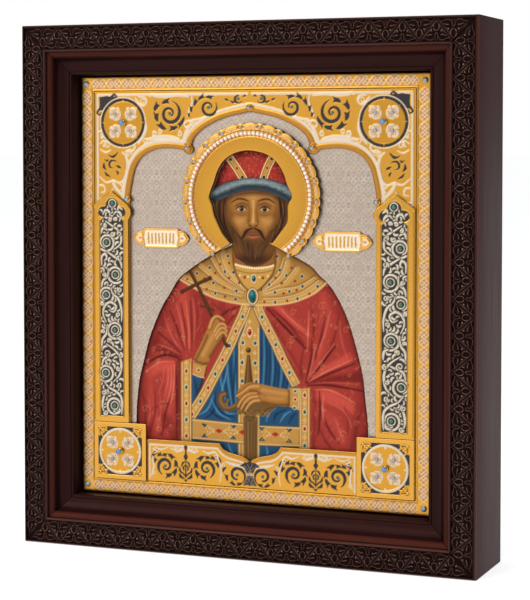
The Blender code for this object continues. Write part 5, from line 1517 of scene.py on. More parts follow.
for cuff, rows, stones in (
        ([(-48.4, 134.4), (-47.8, 144.8), (-42.6, 142.4), (-37, 141), (-39, 131.8), (-44, 132.6)],
        ((1, 2, 3), (0, 5, 4)), ((-43.4, 137.6, True),)),
        ([(30.2, 127.4), (38.2, 127.8), (38.2, 111.0), (29.6, 113.6)], ((0, 3), (1, 2)),
        ((35.2, 125.4, False), (35.2, 119.2, True), (34.6, 112.8, False)))):
    body.area(cuff, BROCADE, 0.03)
    for row in rows:
        beads([cuff[i] for i in row], 1.5, 0.5)
    for stone in stones:
        jewel(stone[0], stone[1], 1.1, stone[2], 1.0)
print("bands done")

# %% Collar, neck and brooch
collar = (smooth([(-13, 236), (-15, 233.5), (-25, 229), (-38, 222), (-50, 214), (-60, 207.4)],
    4) + smooth(
    [(-60, 206.6), (-50, 201.5), (-40, 196.6), (-27, 192.0), (-12, 189.2), (0, 188.4), (14, 188.6),
    (30, 190.6), (42, 194.4), (52, 199.6), (61, 207.0)],
    4) + smooth([(55, 212.6), (48, 219), (35, 226), (22, 233), (19, 236)], 4))
body.area(collar, paint(172, 126, 58), 0.05, 0.6)
inside = share_of(signed_distance(body.x, body.z, collar), 0.6)
# The collar darkens towards its outline: the painting's own shading, and painted shade under the
# overhanging edges of the silver ground and halo.
body.lay(everywhere, inside * share_of(rim_distance - 5.0, 8.0) * 0.7, paint(112, 70, 28))
body.lay(everywhere, inside * share_of(rim_distance - 1.2, 2.2) * 0.8, paint(66, 34, 12))
RAYS_OF_COLLAR = ([(-25, 228), (-21, 216), (-12, 206), (-4, 200)],
    [(-33, 223), (-24, 210), (-12, 202.5), (-5, 199)],
    [(-43, 216.5), (-30, 207), (-16, 200), (-6, 197.6)],
    [(-57, 207.5), (-42, 201.5), (-24, 197.6), (-7, 194.6)],
    [(26, 224.5), (22, 214), (14, 205.5), (8, 200)], [(36, 218), (27, 207), (16, 201), (9, 198.5)],
    [(51, 211), (38, 203.6), (24, 201.0), (10, 197)],
    [(54, 208.5), (40, 199), (24, 194.6), (9, 193.6)],
    [(28, 222.5), (24, 211.5), (15, 203.4), (8.5, 199.2)],
    [(-29, 226), (-22, 213), (-12, 204.4), (-4.5, 199.6)])
for line in RAYS_OF_COLLAR:
    curve = smooth(line, 6)
    body.stroke(shifted(curve, 2.0), (3.2, 1.0), BROCADE_LIGHT, 0.0, 2.0, 0.45)
    body.stroke(shifted(curve, -1.0), (1.6, 0.6), BROCADE_DARK, 0.0, 1.4, 0.4)
    beads(curve, 1.55, 0.42, strength=0.95)
lower_edge = smooth(
    [(-59, 205.6), (-50, 200.8), (-40, 196.0), (-27, 191.4), (-12, 188.7), (0, 187.9), (14, 188.1),
    (30, 190.1), (42, 193.9), (52, 199.0), (60.4, 206.4)], 4)
body.stroke(shifted(lower_edge, 0.9), 2.2, BROCADE_LIGHT, 0.05, 0.8, 0.6)
beads(shifted(lower_edge, 0.7), 1.6, 0.45, strength=0.8)
beads(shifted(lower_edge, 3.4), 1.5, 0.34, strength=0.6)
for x, z, red in ((-19, 225, 0), (-18, 219.6, 1), (-25.4, 218.6, 1), (-34, 215.8, 0),
        (-29.4, 211.8, 1), (-21.6, 213.0, 0), (-14.6, 212.8, 0), (-18.2, 208.4, 1),
        (-38.4, 207.4, 1), (-44.6, 211.2, 0), (-31, 204.4, 0), (-22, 200.8, 1), (-36.6, 199.4, 1),
        (-29.4, 196.6, 0), (-12.2, 198.8, 0), (-21.4, 194.2, 1), (-12.8, 192.6, 0),
        (-52.6, 206.6, 1), (-10, 205, 1), (23, 215.4, 0), (28.2, 211.4, 0), (32.4, 217.2, 1),
        (35, 207.4, 1), (40.6, 211.2, 0), (14.4, 204.4, 0), (24.4, 205.6, 1), (41, 203.8, 0),
        (53, 204, 0), (36.4, 200.8, 1), (30.6, 199.6, 0), (19, 198.6, 0), (46.4, 198.4, 1),
        (37.0, 194.4, 0), (28.8, 192.6, 1), (19.2, 191.2, 0), (10.6, 191.2, 1), (19.4, 209.4, 1),
        (20.6, 225.6, 0), (26, 198, 1), (-42, 204, 0), (8, 200.4, 1)):
    if red:
        body.disc(x, z, 0.95, paint(130, 40, 22))
    else:
        body.disc(x, z, 1.5, BEAD, 0.0, 0.5, 0.6, 1.2)
        body.disc(x, z, 1.05, paint(52, 76, 88), 0.0, 0.5, 1.0, 1.2)
        body.disc(x + 0.2, z - 0.3, 0.6, TEAL_DEEP, 0.0, 0.5, 0.9)
neck_v = smooth([(-15.4, 240), (-15, 232), (-14.6, 220), (-12, 211), (-7, 203.4), (-2.6, 199.4)], 4)
neck_v += smooth([(5.4, 199.4), (10.6, 204), (17, 212), (19.4, 220), (19.2, 232), (19.4, 240)], 4)
body.area(neck_v, paint(190, 142, 66), 0.0, 0.6)
NECK_SKIN = paint(136, 84, 34)
body.area([(-15, 220.4), (-12, 219), (2, 217), (16, 218.4), (19.4, 220), (19.4, 240), (-15.4, 240)],
    NECK_SKIN, 0.0, 0.6)
body.stroke(neck_v[4:], 1.4, paint(92, 56, 20), 0.0, 0.9, 0.8)
beads(smooth([(-13.4, 219), (-8, 217.4), (2, 216.2), (12, 217), (18.6, 219)], 6), 1.9, 0.85,
    paint(240, 224, 194))
body.stroke(smooth([(-13.4, 215.0), (-6, 213.0), (2, 212.6), (10, 213.2), (17.4, 215.2)], 6), 0.6,
    BROCADE_DARK, 0.0, 0.5, 0.7)
jewel(2.0, 208.4, 1.7, False, 1.5)
for x in (-5.4, 9.4):
    body.disc(x, 209.2, 1.1, paint(136, 44, 26))
for x in (-2.6, 6.6, -9.4, 13.4):
    body.disc(x, 208.8 + abs(x - 2) * 0.16, 0.7, BEAD)
for finish, grow in ((paint(96, 60, 24), 2.1), (BEAD, 1.5), (paint(130, 88, 38), 0.7),
        (paint(12, 84, 92), 0.0)):
    body.disc(0.9, 195.0, 2.8 + grow, finish, 0.03, 0.5, 1.0, 1.62 - grow * 0.12)
body.disc(0.3, 197.0, 1.2, paint(56, 146, 150), 0.0, 0.9, 0.8, 1.5)
body.disc(1.8, 192.4, 1.2, paint(6, 48, 60), 0.0, 1.0, 0.8, 1.4)
print("collar done")

# %% Cross, sword and hands
for line, width in (([(-56.2, 223.4), (-43, 200), (-33, 181), (-30, 175)], 2.8),
        ([(-25, 166), (-20.6, 157.6)], 2.6), ([(-56.6, 197.0), (-46, 202.4), (-34.0, 207.6)], 2.8),
        ([(-59.0, 212.6), (-52.6, 215.4), (-47.0, 218.6)], 2.4),
        ([(-41.6, 186.4), (-36, 185.8), (-30.6, 183.4)], 1.5)):
    body.stroke(smooth(line, 3), width, WOOD_DARK, 0.0, 0.6)
    body.stroke(shifted(smooth(line, 3), 0.6), 0.6, paint(112, 64, 36), 0.0, 0.5, 0.6)
for x, z in ((-56.4, 223.8), (-59.2, 212.4), (-46.8, 218.8), (-56.8, 196.8), (-33.8, 207.8),
        (-19.8, 157.2)):
    body.disc(x, z, 1.7, WOOD_DARK, 0.0, 0.6)
body.area([(-5.8, 60), (-6.6, 104), (5.4, 104), (4.6, 60)], STEEL, 0.0, 0.6)
for x in (-3.6, -1.2, 1.4, 3.4):
    body.stroke([(x, 62), (x * 1.1, 100)], 0.6, paint(70, 44, 20), 0.0, 0.6, 0.7)
body.stroke([(-2.4, 62), (-2.7, 100)], 0.7, STEEL_LIGHT, 0.0, 0.7, 0.6)
body.area([(-12, 105.6), (-11, 112), (-2, 117), (8, 117), (20, 112.6), (14, 106.8), (9, 105.6),
    (4, 106.4), (3, 101.6), (-1, 98.8), (-5, 101.6), (-6, 106)], STEEL, 0.0, 0.6)
brush(body, [
    (line, 0.7, paint(66, 40, 18), 0.8, 0.5) for line in ([(-5, 104.6), (-1, 101), (3, 104.6)],
    [(-5.4, 107.4), (-1, 103.6), (3.4, 107.4)], [(-8, 106.4), (-4, 109), (-1, 107)],
    [(1, 107), (5, 109), (9, 106.6)], [(9, 107), (13, 111), (18, 112)])])
for x in (-9.5, -5, 0, 4.5, 9, 13):
    body.ring(x, 106.6, 1.7, 0.6, STEEL_LIGHT, 0.0, 0.5, 0.7)
guard = smooth(
    [(-19.4, 116.4), (-20.6, 113.2), (-23.4, 113.6), (-24.2, 118), (-21, 120.6), (-25.6, 119.8),
    (-26, 114), (-22.6, 109.8), (-17, 109.6), (-11.6, 112.6), (-8, 116), (-2, 118)], 5)
body.stroke(guard, (1.8, 2.6, 3.2, 3.8, 4.4, 5.0), STEEL, 0.0, 0.6)
body.stroke(shifted(guard, 0.8), 0.8, STEEL_LIGHT, 0.0, 0.7, 0.6)
body.stroke(shifted(guard, -1.2), 0.8, paint(66, 40, 18), 0.0, 0.7, 0.6)
body.area([(-3.4, 151), (-1.4, 151), (1.8, 127), (-6.4, 127)], paint(94, 62, 28), 0.0, 0.6)
body.stroke([(-2.4, 150), (-3.2, 128)], 0.8, STEEL_LIGHT, 0.0, 0.7, 0.6)
body.stroke([(-1.4, 150), (0.6, 128)], 0.9, paint(56, 32, 14), 0.0, 0.8, 0.7)
body.disc(-2.4, 154.4, 2.0, paint(58, 32, 14))
body.disc(-2.9, 155.0, 0.7, STEEL_LIGHT, 0.0, 0.6)


def hand(outline, fingers, creases, lights):
    body.area(smooth(outline, 4)[:-1], SKIN, 0.0, 0.6)
    for line, width in fingers:
        curve = smooth(line, 5)
        body.stroke(curve, [w + 0.7 for w in width], SKIN_DARK, 0.0, 0.6, 0.75)
        body.stroke(shifted(curve, 0.25), width, paint(172, 118, 58), 0.0, 0.6)
        body.stroke(shifted(curve, 0.5), [w * 0.35 for w in width], SKIN_LIGHT, 0.0, 0.8, 0.7)
    for line, width in creases:
        body.stroke(smooth(line, 5), width, SKIN_DARK, 0.0, 1.6, 0.65)
    for line, width in lights:
        body.stroke(smooth(line, 5), width, SKIN_LIGHT, 0.0, 2.4, 0.45)


hand([(-47.4, 146), (-42, 157), (-37.6, 166), (-35, 171), (-33, 176), (-28, 177), (-24, 172),
    (-23, 166), (-27, 158), (-33, 149), (-36.4, 141.4), (-42, 142.4), (-47.4, 146)],
    [([(-34, 170), (-31.4, 176.5), (-27.6, 178.8), (-22.4, 176)], (2.8, 2.8, 2.2, 1.4)),
    ([(-30, 167), (-26.6, 172.2), (-23, 173.2), (-20.6, 170.6)], (2.8, 2.7, 2.3, 1.6)),
    ([(-29, 164), (-25.6, 169.2), (-22.4, 170), (-20.4, 167.4)], (2.7, 2.6, 2.3, 1.6)),
    ([(-28.4, 161.6), (-25, 166), (-22.2, 166.6), (-20.4, 164.0)], (2.5, 2.4, 2.1, 1.5))],
    [([(-46, 145), (-40, 155), (-36, 164)], 1.6), ([(-34, 148), (-28, 157), (-24, 162)], 2.2),
    ([(-46, 144), (-40, 142.4), (-36.6, 143)], 2.4)], [([(-40, 149), (-35, 158), (-31, 165)], 3.2)])
hand([(30.6, 126.4), (20, 127.4), (10, 129), (1, 130.4), (-7, 128), (-11.6, 122), (-9, 116),
    (-4, 114.6), (4, 116), (10, 115), (20, 113.4), (30.4, 114.6), (30.6, 126.4)],
    [([(4, 122.4), (-3, 121), (-8, 117), (-11.2, 111.4)], (3.0, 2.9, 2.4, 1.6)),
    ([(5, 120), (-1, 119), (-5.6, 115), (-8.6, 109.8)], (2.9, 2.8, 2.3, 1.6)),
    ([(6, 117.4), (1.4, 116.4), (-2.6, 113), (-5.2, 108.8)], (2.7, 2.6, 2.1, 1.5)),
    ([(6, 128), (-1, 127.2), (-7, 123), (-12.4, 119.4)], (3.0, 2.9, 2.3, 1.5))],
    [([(30, 114.8), (20, 114.2), (9, 115.8)], 2.2), ([(12, 120), (4, 123.6), (-1, 124)], 1.2),
    ([(30, 114), (30.4, 120), (30.2, 126)], 1.6)],
    [([(28, 123), (18, 123.8), (9, 125)], 3.0), ([(26, 119), (16, 119), (9, 121)], 1.6)])
made = body.piece("painted_figure", 24.86, 24.99, PAINT)

# %% [markdown]
# ## The head
#
# Hat, fur brim, hair and beard are painted on a finer sheet. The face is plain and calm, built on
# the usual proportions: eyes halfway up the head, one eye's width between them, the nose ending
# halfway between brow and chin, and the mouth a third of the way below the nose.

# %% The head: hair and the ground of the face
HAIR, HAIR_DARK, HAIR_LIGHT = paint(74, 42, 16), paint(36, 14, 6), paint(120, 80, 40)
FUR, FUR_DARK, FUR_LIGHT = paint(84, 98, 102), paint(34, 42, 50), paint(150, 162, 156)
FACE_X = 1.5
head = Sheet(np.arange(-34.5, 35.2, 0.36), np.arange(216.0, 306.0, 0.36), HAIR_DARK)
head.cut(smooth(
    [(-13, 224), (-14.6, 231),
    (-16.4, 236)] + [(x * 1.012 + (0.3 if x > 0 else -0.3), z + (0.4 if z > 295 else 0)) for x,
    z in HEAD_SIDE] + [(19.2, 236), (18.4, 230), (16, 224), (9, 219), (2, 217.4), (-6, 219)],
    3)[:-1])
head.area([(-14.8, 216), (-14.8, 236), (19.4, 236), (19.4, 216)], NECK_SKIN, 0.0, 0.8)
head.area(smooth(
    [(-15, 233), (-21, 241), (-25, 249.5), (-29, 258), (-30.6, 266), (-26, 280), (29, 280),
    (31.6, 266), (31, 254), (25.6, 243), (18.6, 234), (8, 230), (-6, 230)], 4), HAIR, 0.0, 1.2)
head.area(smooth(
    [(1.5, 224), (-7, 226), (-14, 232), (-18.6, 241), (-21, 252), (-21.4, 262), (-20, 272),
    (-14, 279), (1.5, 281), (17, 279), (23, 272), (24.4, 262), (24, 252), (21.6, 241), (17, 232),
    (10, 226), (1.5, 224)], 5), SKIN, 0.0, 1.6)


def pair(rows):
    """Brush strokes on both halves of the face."""
    for side in (-1, 1):
        brush(head, [([(FACE_X + side * x, z) for x, z in points], *rest) for points,
            *rest in rows])


pair((([(21.4, 274), (22.4, 260), (19.6, 246), (13, 234)], (5, 8, 7, 5), SKIN_DARK, 0.8, 7.0),
    ([(15, 277), (8, 278), (0, 278)], (7, 5, 5), SKIN_DARK, 0.5, 6.0),
    ([(17, 257), (16, 250), (12.4, 243)], (2, 5, 2), SKIN_DARK, 0.55, 6.0),
    ([(3.4, 266), (3.0, 259), (3.6, 252)], (1.4, 1.6, 2.4), SKIN_DARK, 0.6, 2.6),
    ([(5, 263.4), (9.4, 264.4), (14.4, 262.4)], (2.4, 2.8, 1.6), SKIN_DARK, 0.55, 2.6),
    ([(5.4, 257.0), (9.2, 255.8), (13.8, 257.4)], (1.6, 2.2, 1.2), SKIN_DARK, 0.45, 2.4),
    ([(8.4, 252.4), (12, 251), (15, 252.6)], (2, 5, 2), SKIN_LIGHT, 0.55, 5.0),
    ([(6, 273), (10, 272), (14, 270)], (4, 5, 3), SKIN_LIGHT, 0.3, 5.0)))
for side in (-1, 1):
    eye = smooth(
        [(FACE_X + side * x, z) for x,
        z in ((5.4, 260.0), (7.2, 261.5), (9.4, 262.0), (11.8, 261.4), (13.4, 260.1), (11.6, 258.9),
        (9.4, 258.5), (7.0, 258.9), (5.4, 260.0))], 5)
    head.area(eye, paint(178, 148, 104))
    x = FACE_X + side * 9.3
    head.disc(x, 260.4, 1.75, paint(58, 32, 14))
    head.disc(x, 260.4, 0.9, paint(20, 10, 6), 0.0, 0.4)
    head.disc(x - 0.6, 261.0, 0.35, paint(214, 196, 164), 0.0, 0.4, 0.8)
pair((([(5.0, 260.0), (7.0, 262.0), (9.4, 262.6), (12.0, 261.9), (14.2, 260.2)],
    (0.4, 1.0, 1.0, 0.6), paint(48, 24, 10), 0.95, 0.5),
    ([(5.8, 259.2), (9.4, 257.9), (13.0, 259.3)], (0.4, 0.6, 0.4), SKIN_DARK, 0.8, 0.6),
    ([(5.4, 263.8), (9.4, 264.9), (14.4, 263.0)], (0.4, 0.6, 0.4), SKIN_DARK, 0.85, 0.7),
    ([(4.2, 266.6), (8.4, 268.0), (12.8, 267.9), (17.4, 265.4)], (0.8, 1.4, 1.3, 0.5), HAIR_DARK,
    0.75, 1.0),
    ([(2.0, 248.8), (3.6, 248.6), (4.0, 250.4), (3.2, 251.8)], (0.6, 0.8, 0.5), SKIN_DARK, 0.85,
    0.8), ([(1.2, 247.8), (2.7, 248.2)], (0.7, 0.7), HAIR_DARK, 0.7, 0.6)))
brush(head, (([(FACE_X, 276), (FACE_X, 270), (FACE_X, 264)], (9, 7, 3), SKIN_LIGHT, 0.4, 6.0),
    ([(FACE_X + 0.2, 267), (FACE_X + 0.2, 258), (FACE_X, 251)], (1.1, 1.3, 2.4), SKIN_LIGHT, 0.8,
    1.4), ([(-1.8, 247.6), (FACE_X, 247.0), (4.8, 247.6)], (0.8, 1.2, 0.8), SKIN_DARK, 0.7, 1.2)))
print("face drawn on", head.x.size, "points")

# %% The beard and the hair, hair by hair
beard = smooth(
    [(-19.6, 250), (-19, 243), (-15.6, 234), (-10.4, 226), (-4, 221.4), (FACE_X, 220.2), (7, 221.4),
    (13.4, 226), (18.6, 234), (22, 243), (22.6, 250), (19.6, 246.4), (16, 241.6), (11.6, 241),
    (8.6, 244.6), (4.6, 246.2), (FACE_X, 245.6), (-1.6, 246.2), (-5.6, 244.6), (-8.6, 241),
    (-13, 241.6), (-16.6, 246.4), (-19.6, 250)], 4)
head.area(beard[:-1], paint(92, 56, 22), 0.0, 5.0, 0.85)
head.area([(FACE_X + (x - FACE_X) * 0.9, 217 + (z - 220) * 0.42) for x, z in beard[:-1]], HAIR_DARK,
    0.0, 7.0, 0.7)
brush(head, (
    ([(-3.6, 240.6), (FACE_X, 240.2), (6.6, 240.6)], (2.6, 3.6, 2.6), paint(132, 78, 40), 0.9, 1.2),
    ([(-3.4, 241.4), (-0.4, 242.2), (FACE_X, 241.8), (3.4, 242.2), (6.4, 241.4)],
    (0.6, 1.4, 1.2, 1.4, 0.6), paint(128, 64, 42), 1.0, 0.7),
    ([(-2.6, 240.0), (FACE_X, 239.2), (5.6, 240.0)], (0.7, 1.8, 0.7), paint(154, 88, 58), 1.0, 0.8),
    ([(-3.8, 240.9), (-0.4, 241.0), (FACE_X, 240.7), (3.4, 241.0), (6.8, 240.9)],
    (0.4, 0.5, 0.5, 0.4), paint(66, 28, 18), 0.95, 0.4)))
rng = np.random.default_rng(33)
for k in range(330):
    share = rng.uniform(-1, 1)
    start = (FACE_X + share * 19.6, 233.0 + 15.5 * abs(share) ** 1.6 + rng.uniform(-2.5, 2.5))
    if abs(share) < 0.3:
        start = (start[0], 237.4 - rng.uniform(0, 5))
    end = (FACE_X + share * 14.5 * rng.uniform(0.75, 1.0),
        max(219.8 + 6 * abs(share), start[1] - rng.uniform(7, 13) + 2.5 * abs(share)))
    bend = ((start[0] + end[0]) / 2 + share * 1.8, (start[1] + end[1]) / 2)
    finish = (HAIR, HAIR_DARK, HAIR_LIGHT)[int(rng.choice(3, p=(0.5, 0.2, 0.3)))]
    head.stroke(smooth([start, bend, end], 4), (0.3, 0.8, 0.3), finish, 0.0, 1.1, 0.35)
for side in (-1, 1):
    for k in range(11):
        share = k / 10
        line = [(0.5 + share * 2.2, 246.0 - share * 0.4), (3.8 + share * 2.6, 244.8 - share * 1.1),
            (6.6 + share * 3.2, 240.4 - share * 3.2)]
        head.stroke(smooth([(FACE_X + side * x, z) for x, z in line], 6), (0.7, 1.0, 0.4),
            HAIR if k % 2 else HAIR_DARK, 0.0, 0.7, 0.8)
    for k in range(90):
        outer, sway = rng.uniform(0, 1), rng.uniform(-1, 1)
        line = [(19.4 + 9.5 * outer, 274 - 3 * outer), (22.4 + 7.4 * outer + sway, 260),
            (20.8 + 7.0 * outer - sway, 248 + 2 * outer),
            (15.6 + 6.4 * outer + sway, 236 + 4 * outer)]
        finish = (HAIR, HAIR_DARK, HAIR_LIGHT)[int(rng.choice(3, p=(0.4, 0.32, 0.28)))]
        head.stroke(smooth([(FACE_X + side * x, z) for x, z in line], 4), (0.5, 1.1, 0.9, 0.4),
            finish, 0.0, 0.9, 0.65)

# %% The hat
dome = smooth(
    [(-31.0, 272), (-28.6, 281), (-25.6, 290), (-20, 298), (-12.5, 303), (-4, 305.4), (4, 305.2),
    (13.5, 302.8), (21.5, 297.4), (27.8, 288.5), (31, 279), (33, 272)], 4) + [(20, 276), (1, 280),
    (-20, 276)]
head.area(dome, paint(150, 38, 30), 0.0, 0.6)
dome_edge = signed_distance(head.x, head.z, dome)
on_hat = share_of(272 - head.z, 1.0)
head.disc(1.0, 294, 8.0, paint(166, 56, 44), 0.0, 8.0, 0.5)
head.lay(everywhere, share_of(np.abs(dome_edge) - 3.4, 6.0) * on_hat * 0.9, paint(60, 10, 8))
for k in range(420):
    x, z = rng.uniform(-27, 29), rng.uniform(279, 303)
    head.disc(x, z, rng.uniform(0.3, 0.6), paint(208, 112, 66), 0.0, 0.6, rng.uniform(0.2, 0.65))
for line in ([(-17.4, 298.4), (-11.6, 291), (-5.6, 282)], [(17.0, 299), (12.8, 291.4), (9.4, 282)]):
    curve = smooth(line, 6)
    head.stroke(curve, 6.0, BROCADE, 0.05)
    for side in (-1, 1):
        head.stroke(shifted(curve, side * 2.7), 0.8, paint(226, 196, 140), 0.05)
        head.stroke(shifted(curve, side * 1.9), 0.4, BROCADE_DARK, 0.0, 0.5, 0.6)
    for share, red in ((0.12, 0), (0.5, 1), (0.88, 0)):
        spot = curve[int(share * (len(curve) - 1))]
        head.disc(*spot, 1.6, BROCADE_LIGHT)
        head.disc(*spot, 1.15, RUBY if red else TEAL_DEEP)
brim = smooth(
    [(-32.4, 269.2), (-29, 266.6), (-22, 268.6), (-12, 273.0), (1, 275.2), (14, 273.6), (24, 269.4),
    (30.6, 266.2), (33.8, 268.4), (33.6, 273.4), (30, 277.4), (22, 280.8), (12, 283.0), (0, 283.6),
    (-12, 282.2), (-22, 279.6), (-29, 276.2), (-32.4, 272.4)], 4)
head.stroke(smooth([(-24, 266.6), (-12, 271.0), (1, 273.0), (14, 271.6), (26, 266.8)], 5),
    (2.0, 3.4, 2.0), paint(60, 30, 10), 0.0, 3.4, 0.75)
head.area(brim, FUR, 0.25, 0.7)
middle_line = smooth(
    [(-30, 271), (-20, 275), (-8, 279), (2, 279.8), (14, 278.6), (24, 275), (32, 270.8)], 6)
head.stroke(shifted(middle_line, -2.8), (3, 4, 3), FUR_DARK, 0.0, 3.0, 0.85)
head.stroke(shifted(middle_line, 1.4), (1.5, 3.0, 1.5), FUR_LIGHT, 0.0, 3.0, 0.7)
head.stroke(brim + brim[:1], 0.9, FUR_DARK, 0.0, 1.2, 0.6)
for k in range(300):
    base = middle_line[int(rng.uniform(0, 1) * (len(middle_line) - 1))]
    off = rng.uniform(-4.2, 3.4)
    x, z = base[0] + rng.uniform(-1, 1), base[1] + off
    finish = FUR_DARK if off < -1 else (FUR_LIGHT if rng.uniform() > 0.5 else FUR)
    head.stroke([(x, z), (x + rng.uniform(1.2, 2.4), z + rng.uniform(-0.8, 0.8))], (0.6, 0.3),
        finish, 0.0, 0.7, 0.45)
made = head.piece("painted_head", 24.75, 24.99, PAINT)

# %% [markdown]
# ## Pearls, stones and studs
#
# Pearls sit on a thread at even steps, and every stone of one kind is cut alike. That is work for
# Geometry Nodes: a tree places one bead or one stone at each point of a thread or a plan. The
# tree has named sizes, and its result is turned into a plain mesh.

# %% Materials of beads and stones
def shades(tree, shader, grain, dark, light, low=0.3, high=0.7):
    """Colour a piece from dark to light by its grain."""
    node_ramp = node(tree, "ShaderNodeValToRGB", (-450, 300))
    for stop, tone, spot in zip(node_ramp.color_ramp.elements, (dark, light), (low, high)):
        stop.color = [min(1.0, c) for c in tone] + [1.0]
        stop.position = spot
    tree.links.new(grain.outputs["Fac"], node_ramp.inputs["Fac"])
    tree.links.new(node_ramp.outputs["Color"], shader.inputs["Base Color"])


def polished(name, rgb, metal, rough, coat=0.0):
    """A plain finish with a little cloudiness."""
    made, tree, shader = new_material(name)
    grain = noise_on(tree, 1500.0, 3.0)
    tone = linear(np.array(rgb) / 255)
    shades(tree, shader, grain, tone * 0.82, tone * 1.15)
    graded(tree, grain.outputs["Fac"], rough * 0.8, rough * 1.2, shader.inputs["Roughness"])
    shader.inputs["Metallic"].default_value = metal
    shader.inputs["Coat Weight"].default_value = coat
    shader.inputs["Coat Roughness"].default_value = 0.05
    bumped(tree, shader, grain.outputs["Fac"], 0.04, 0.0001)
    return made


def board_wood(name, dark, light, stretch):
    """Plain sawn wood: long grain between two tones, rough to the touch."""
    made, tree, shader = new_material(name)
    grain = noise_on(tree, 180.0, 6.0, stretch)
    shades(tree, shader, grain, linear(np.array(dark) / 255), linear(np.array(light) / 255))
    graded(tree, grain.outputs["Fac"], 0.44, 0.66, shader.inputs["Roughness"])
    shader.inputs["Specular IOR Level"].default_value = 0.2
    shader.inputs["Coat Roughness"].default_value = 0.05
    bumped(tree, shader, grain.outputs["Fac"], 0.3, 0.0004)
    return made


PEARL = polished("seed_pearl", (244, 226, 212), 0.0, 0.22, 0.5)
PALE_BLUE = polished("pale_blue_glass", (128, 168, 190), 0.0, 0.1, 0.8)
SKY_BLUE = polished("sky_blue_glass", (70, 132, 186), 0.0, 0.08, 1.0)
EMERALD = polished("green_glass", (16, 92, 66), 0.0, 0.08, 1.0)
BRIGHT_GOLD = polished("polished_gilt", (206, 148, 62), 1.0, 0.22)
DARK_SETTING = polished("dark_setting", (40, 36, 34), 0.0, 0.3)
UPRIGHT_GRAIN, LEVEL_GRAIN = (1.0, 1.0, 0.05), (0.05, 1.0, 1.0)
for node_name, wood in (
        ("icon_board",
        board_wood("limewood_board", (150, 112, 74), (196, 156, 110), UPRIGHT_GRAIN)),
        ("back_board", board_wood("backing_board", (112, 84, 58), (150, 116, 82), LEVEL_GRAIN))):
    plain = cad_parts[node_name]
    plain.data.materials.clear()
    plain.data.materials.append(wood)
    print(node_name, "now in", wood.name)

# %% Trees with named sizes, and how to run one
def geometry_tree(name, sizes):
    """A new tree with named sizes; it gives back their sockets, and the socket it ends in."""
    tree = bpy.data.node_groups.new(name, "GeometryNodeTree")
    tree.interface.new_socket(name="Geometry", in_out="INPUT", socket_type="NodeSocketGeometry")
    for label, value in sizes.items():
        tree.interface.new_socket(name=label, in_out="INPUT",
            socket_type="NodeSocketFloat").default_value = value
    tree.interface.new_socket(name="Geometry", in_out="OUTPUT", socket_type="NodeSocketGeometry")
    start, end = tree.nodes.new("NodeGroupInput"), tree.nodes.new("NodeGroupOutput")
    return tree, start.outputs, end.inputs["Geometry"]


def then(tree, kind, setup=(), **inputs):
    """Add a node and give its first output. Setup names its choices, and inputs are values or
    sockets, by name with _ for a space."""
    made = tree.nodes.new(kind if kind.startswith("Shader") else "GeometryNode" + kind)
    for choice, value in dict(setup).items():
        setattr(made, choice, value)
    for label, value in inputs.items():
        socket = made.inputs[label.replace("_", " ")]
        if isinstance(value, bpy.types.NodeSocket):
            tree.links.new(value, socket)
        else:
            socket.default_value = value
    return made.outputs[0]


def finished(tree, shape, material):
    """Soft shading and a material on a shape."""
    soft = then(tree, "SetShadeSmooth", Geometry=shape)
    return then(tree, "SetMaterial", Geometry=soft, Material=material)


def joined(tree, shapes):
    whole = tree.nodes.new("GeometryNodeJoinGeometry")
    for shape in shapes:
        tree.links.new(shape, whole.inputs[0])
    return whole.outputs[0]


def at_points(tree, points, shape):
    """One real copy of the shape at every point."""
    copies = then(tree, "InstanceOnPoints", Points=points, Instance=shape)
    return then(tree, "RealizeInstances", Geometry=copies)


def run_tree(tree, sizes, name, spots, replaced=(), edges=()):
    """Put the tree on a plan of points, set its sizes by identifier and keep the plain mesh."""
    plan = bpy.data.meshes.new(name + "_plan")
    plan.from_pydata(spots, list(edges), [])
    carrier = bpy.data.objects.new(name + "_plan", plan)
    bpy.context.scene.collection.objects.link(carrier)
    modifier = carrier.modifiers.new("tree", "NODES")
    modifier.node_group = tree
    for item in tree.interface.items_tree:
        if item.in_out == "INPUT" and item.name in sizes:
            modifier[item.identifier] = sizes[item.name]
    graph = bpy.context.evaluated_depsgraph_get()
    mesh = bpy.data.meshes.new_from_object(carrier.evaluated_get(graph))
    carrier.modifiers.remove(modifier)
    bpy.data.objects.remove(carrier, do_unlink=True)
    mesh.name = name
    piece = finish_piece(mesh, name)
    if replaced:
        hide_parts(*replaced)


# %% A tree for beads on a thread
def bead_tree(name, material, thread_material):
    tree, given, end = geometry_tree(name,
        {"Pitch": 0.0027, "Bead radius": 0.00126, "Thread radius": 0.0003})
    curve = then(tree, "MeshToCurve", Mesh=given["Geometry"])
    steps = then(tree, "ResampleCurve", {"mode": "LENGTH"}, Curve=curve, Length=given["Pitch"])
    bead = then(tree, "MeshUVSphere", Segments=12, Rings=8, Radius=given["Bead radius"])
    beads_on = finished(tree, at_points(tree, steps, bead), material)
    profile = then(tree, "CurvePrimitiveCircle", Resolution=6, Radius=given["Thread radius"])
    thread = then(tree, "CurveToMesh", Curve=curve, Profile_Curve=profile, Fill_Caps=True)
    thread = then(tree, "SetMaterial", Geometry=thread, Material=thread_material)
    tree.links.new(joined(tree, (beads_on, thread)), end)
    return tree


PEARL_DEPTH = HALO_FRONT - 0.3 - 1.45
PEARL_FIRST = HALO_START + radians(4)
turns = np.linspace(PEARL_FIRST, 2 * pi - PEARL_FIRST, 240)
run_tree(bead_tree("pearls_on_a_thread", PEARL, BRIGHT_GOLD),
    {"Pitch": 0.0033, "Bead radius": 0.00145, "Thread radius": 0.0003}, "halo_pearls",
    [place(*halo_spot(PEARL_R, t), PEARL_DEPTH) for t in turns], ["pearl_string"],
    [(i, i + 1) for i in range(len(turns) - 1)])

# %% A tree for stones in round settings
TURN_UP = (pi / 2, 0.0, 0.0)


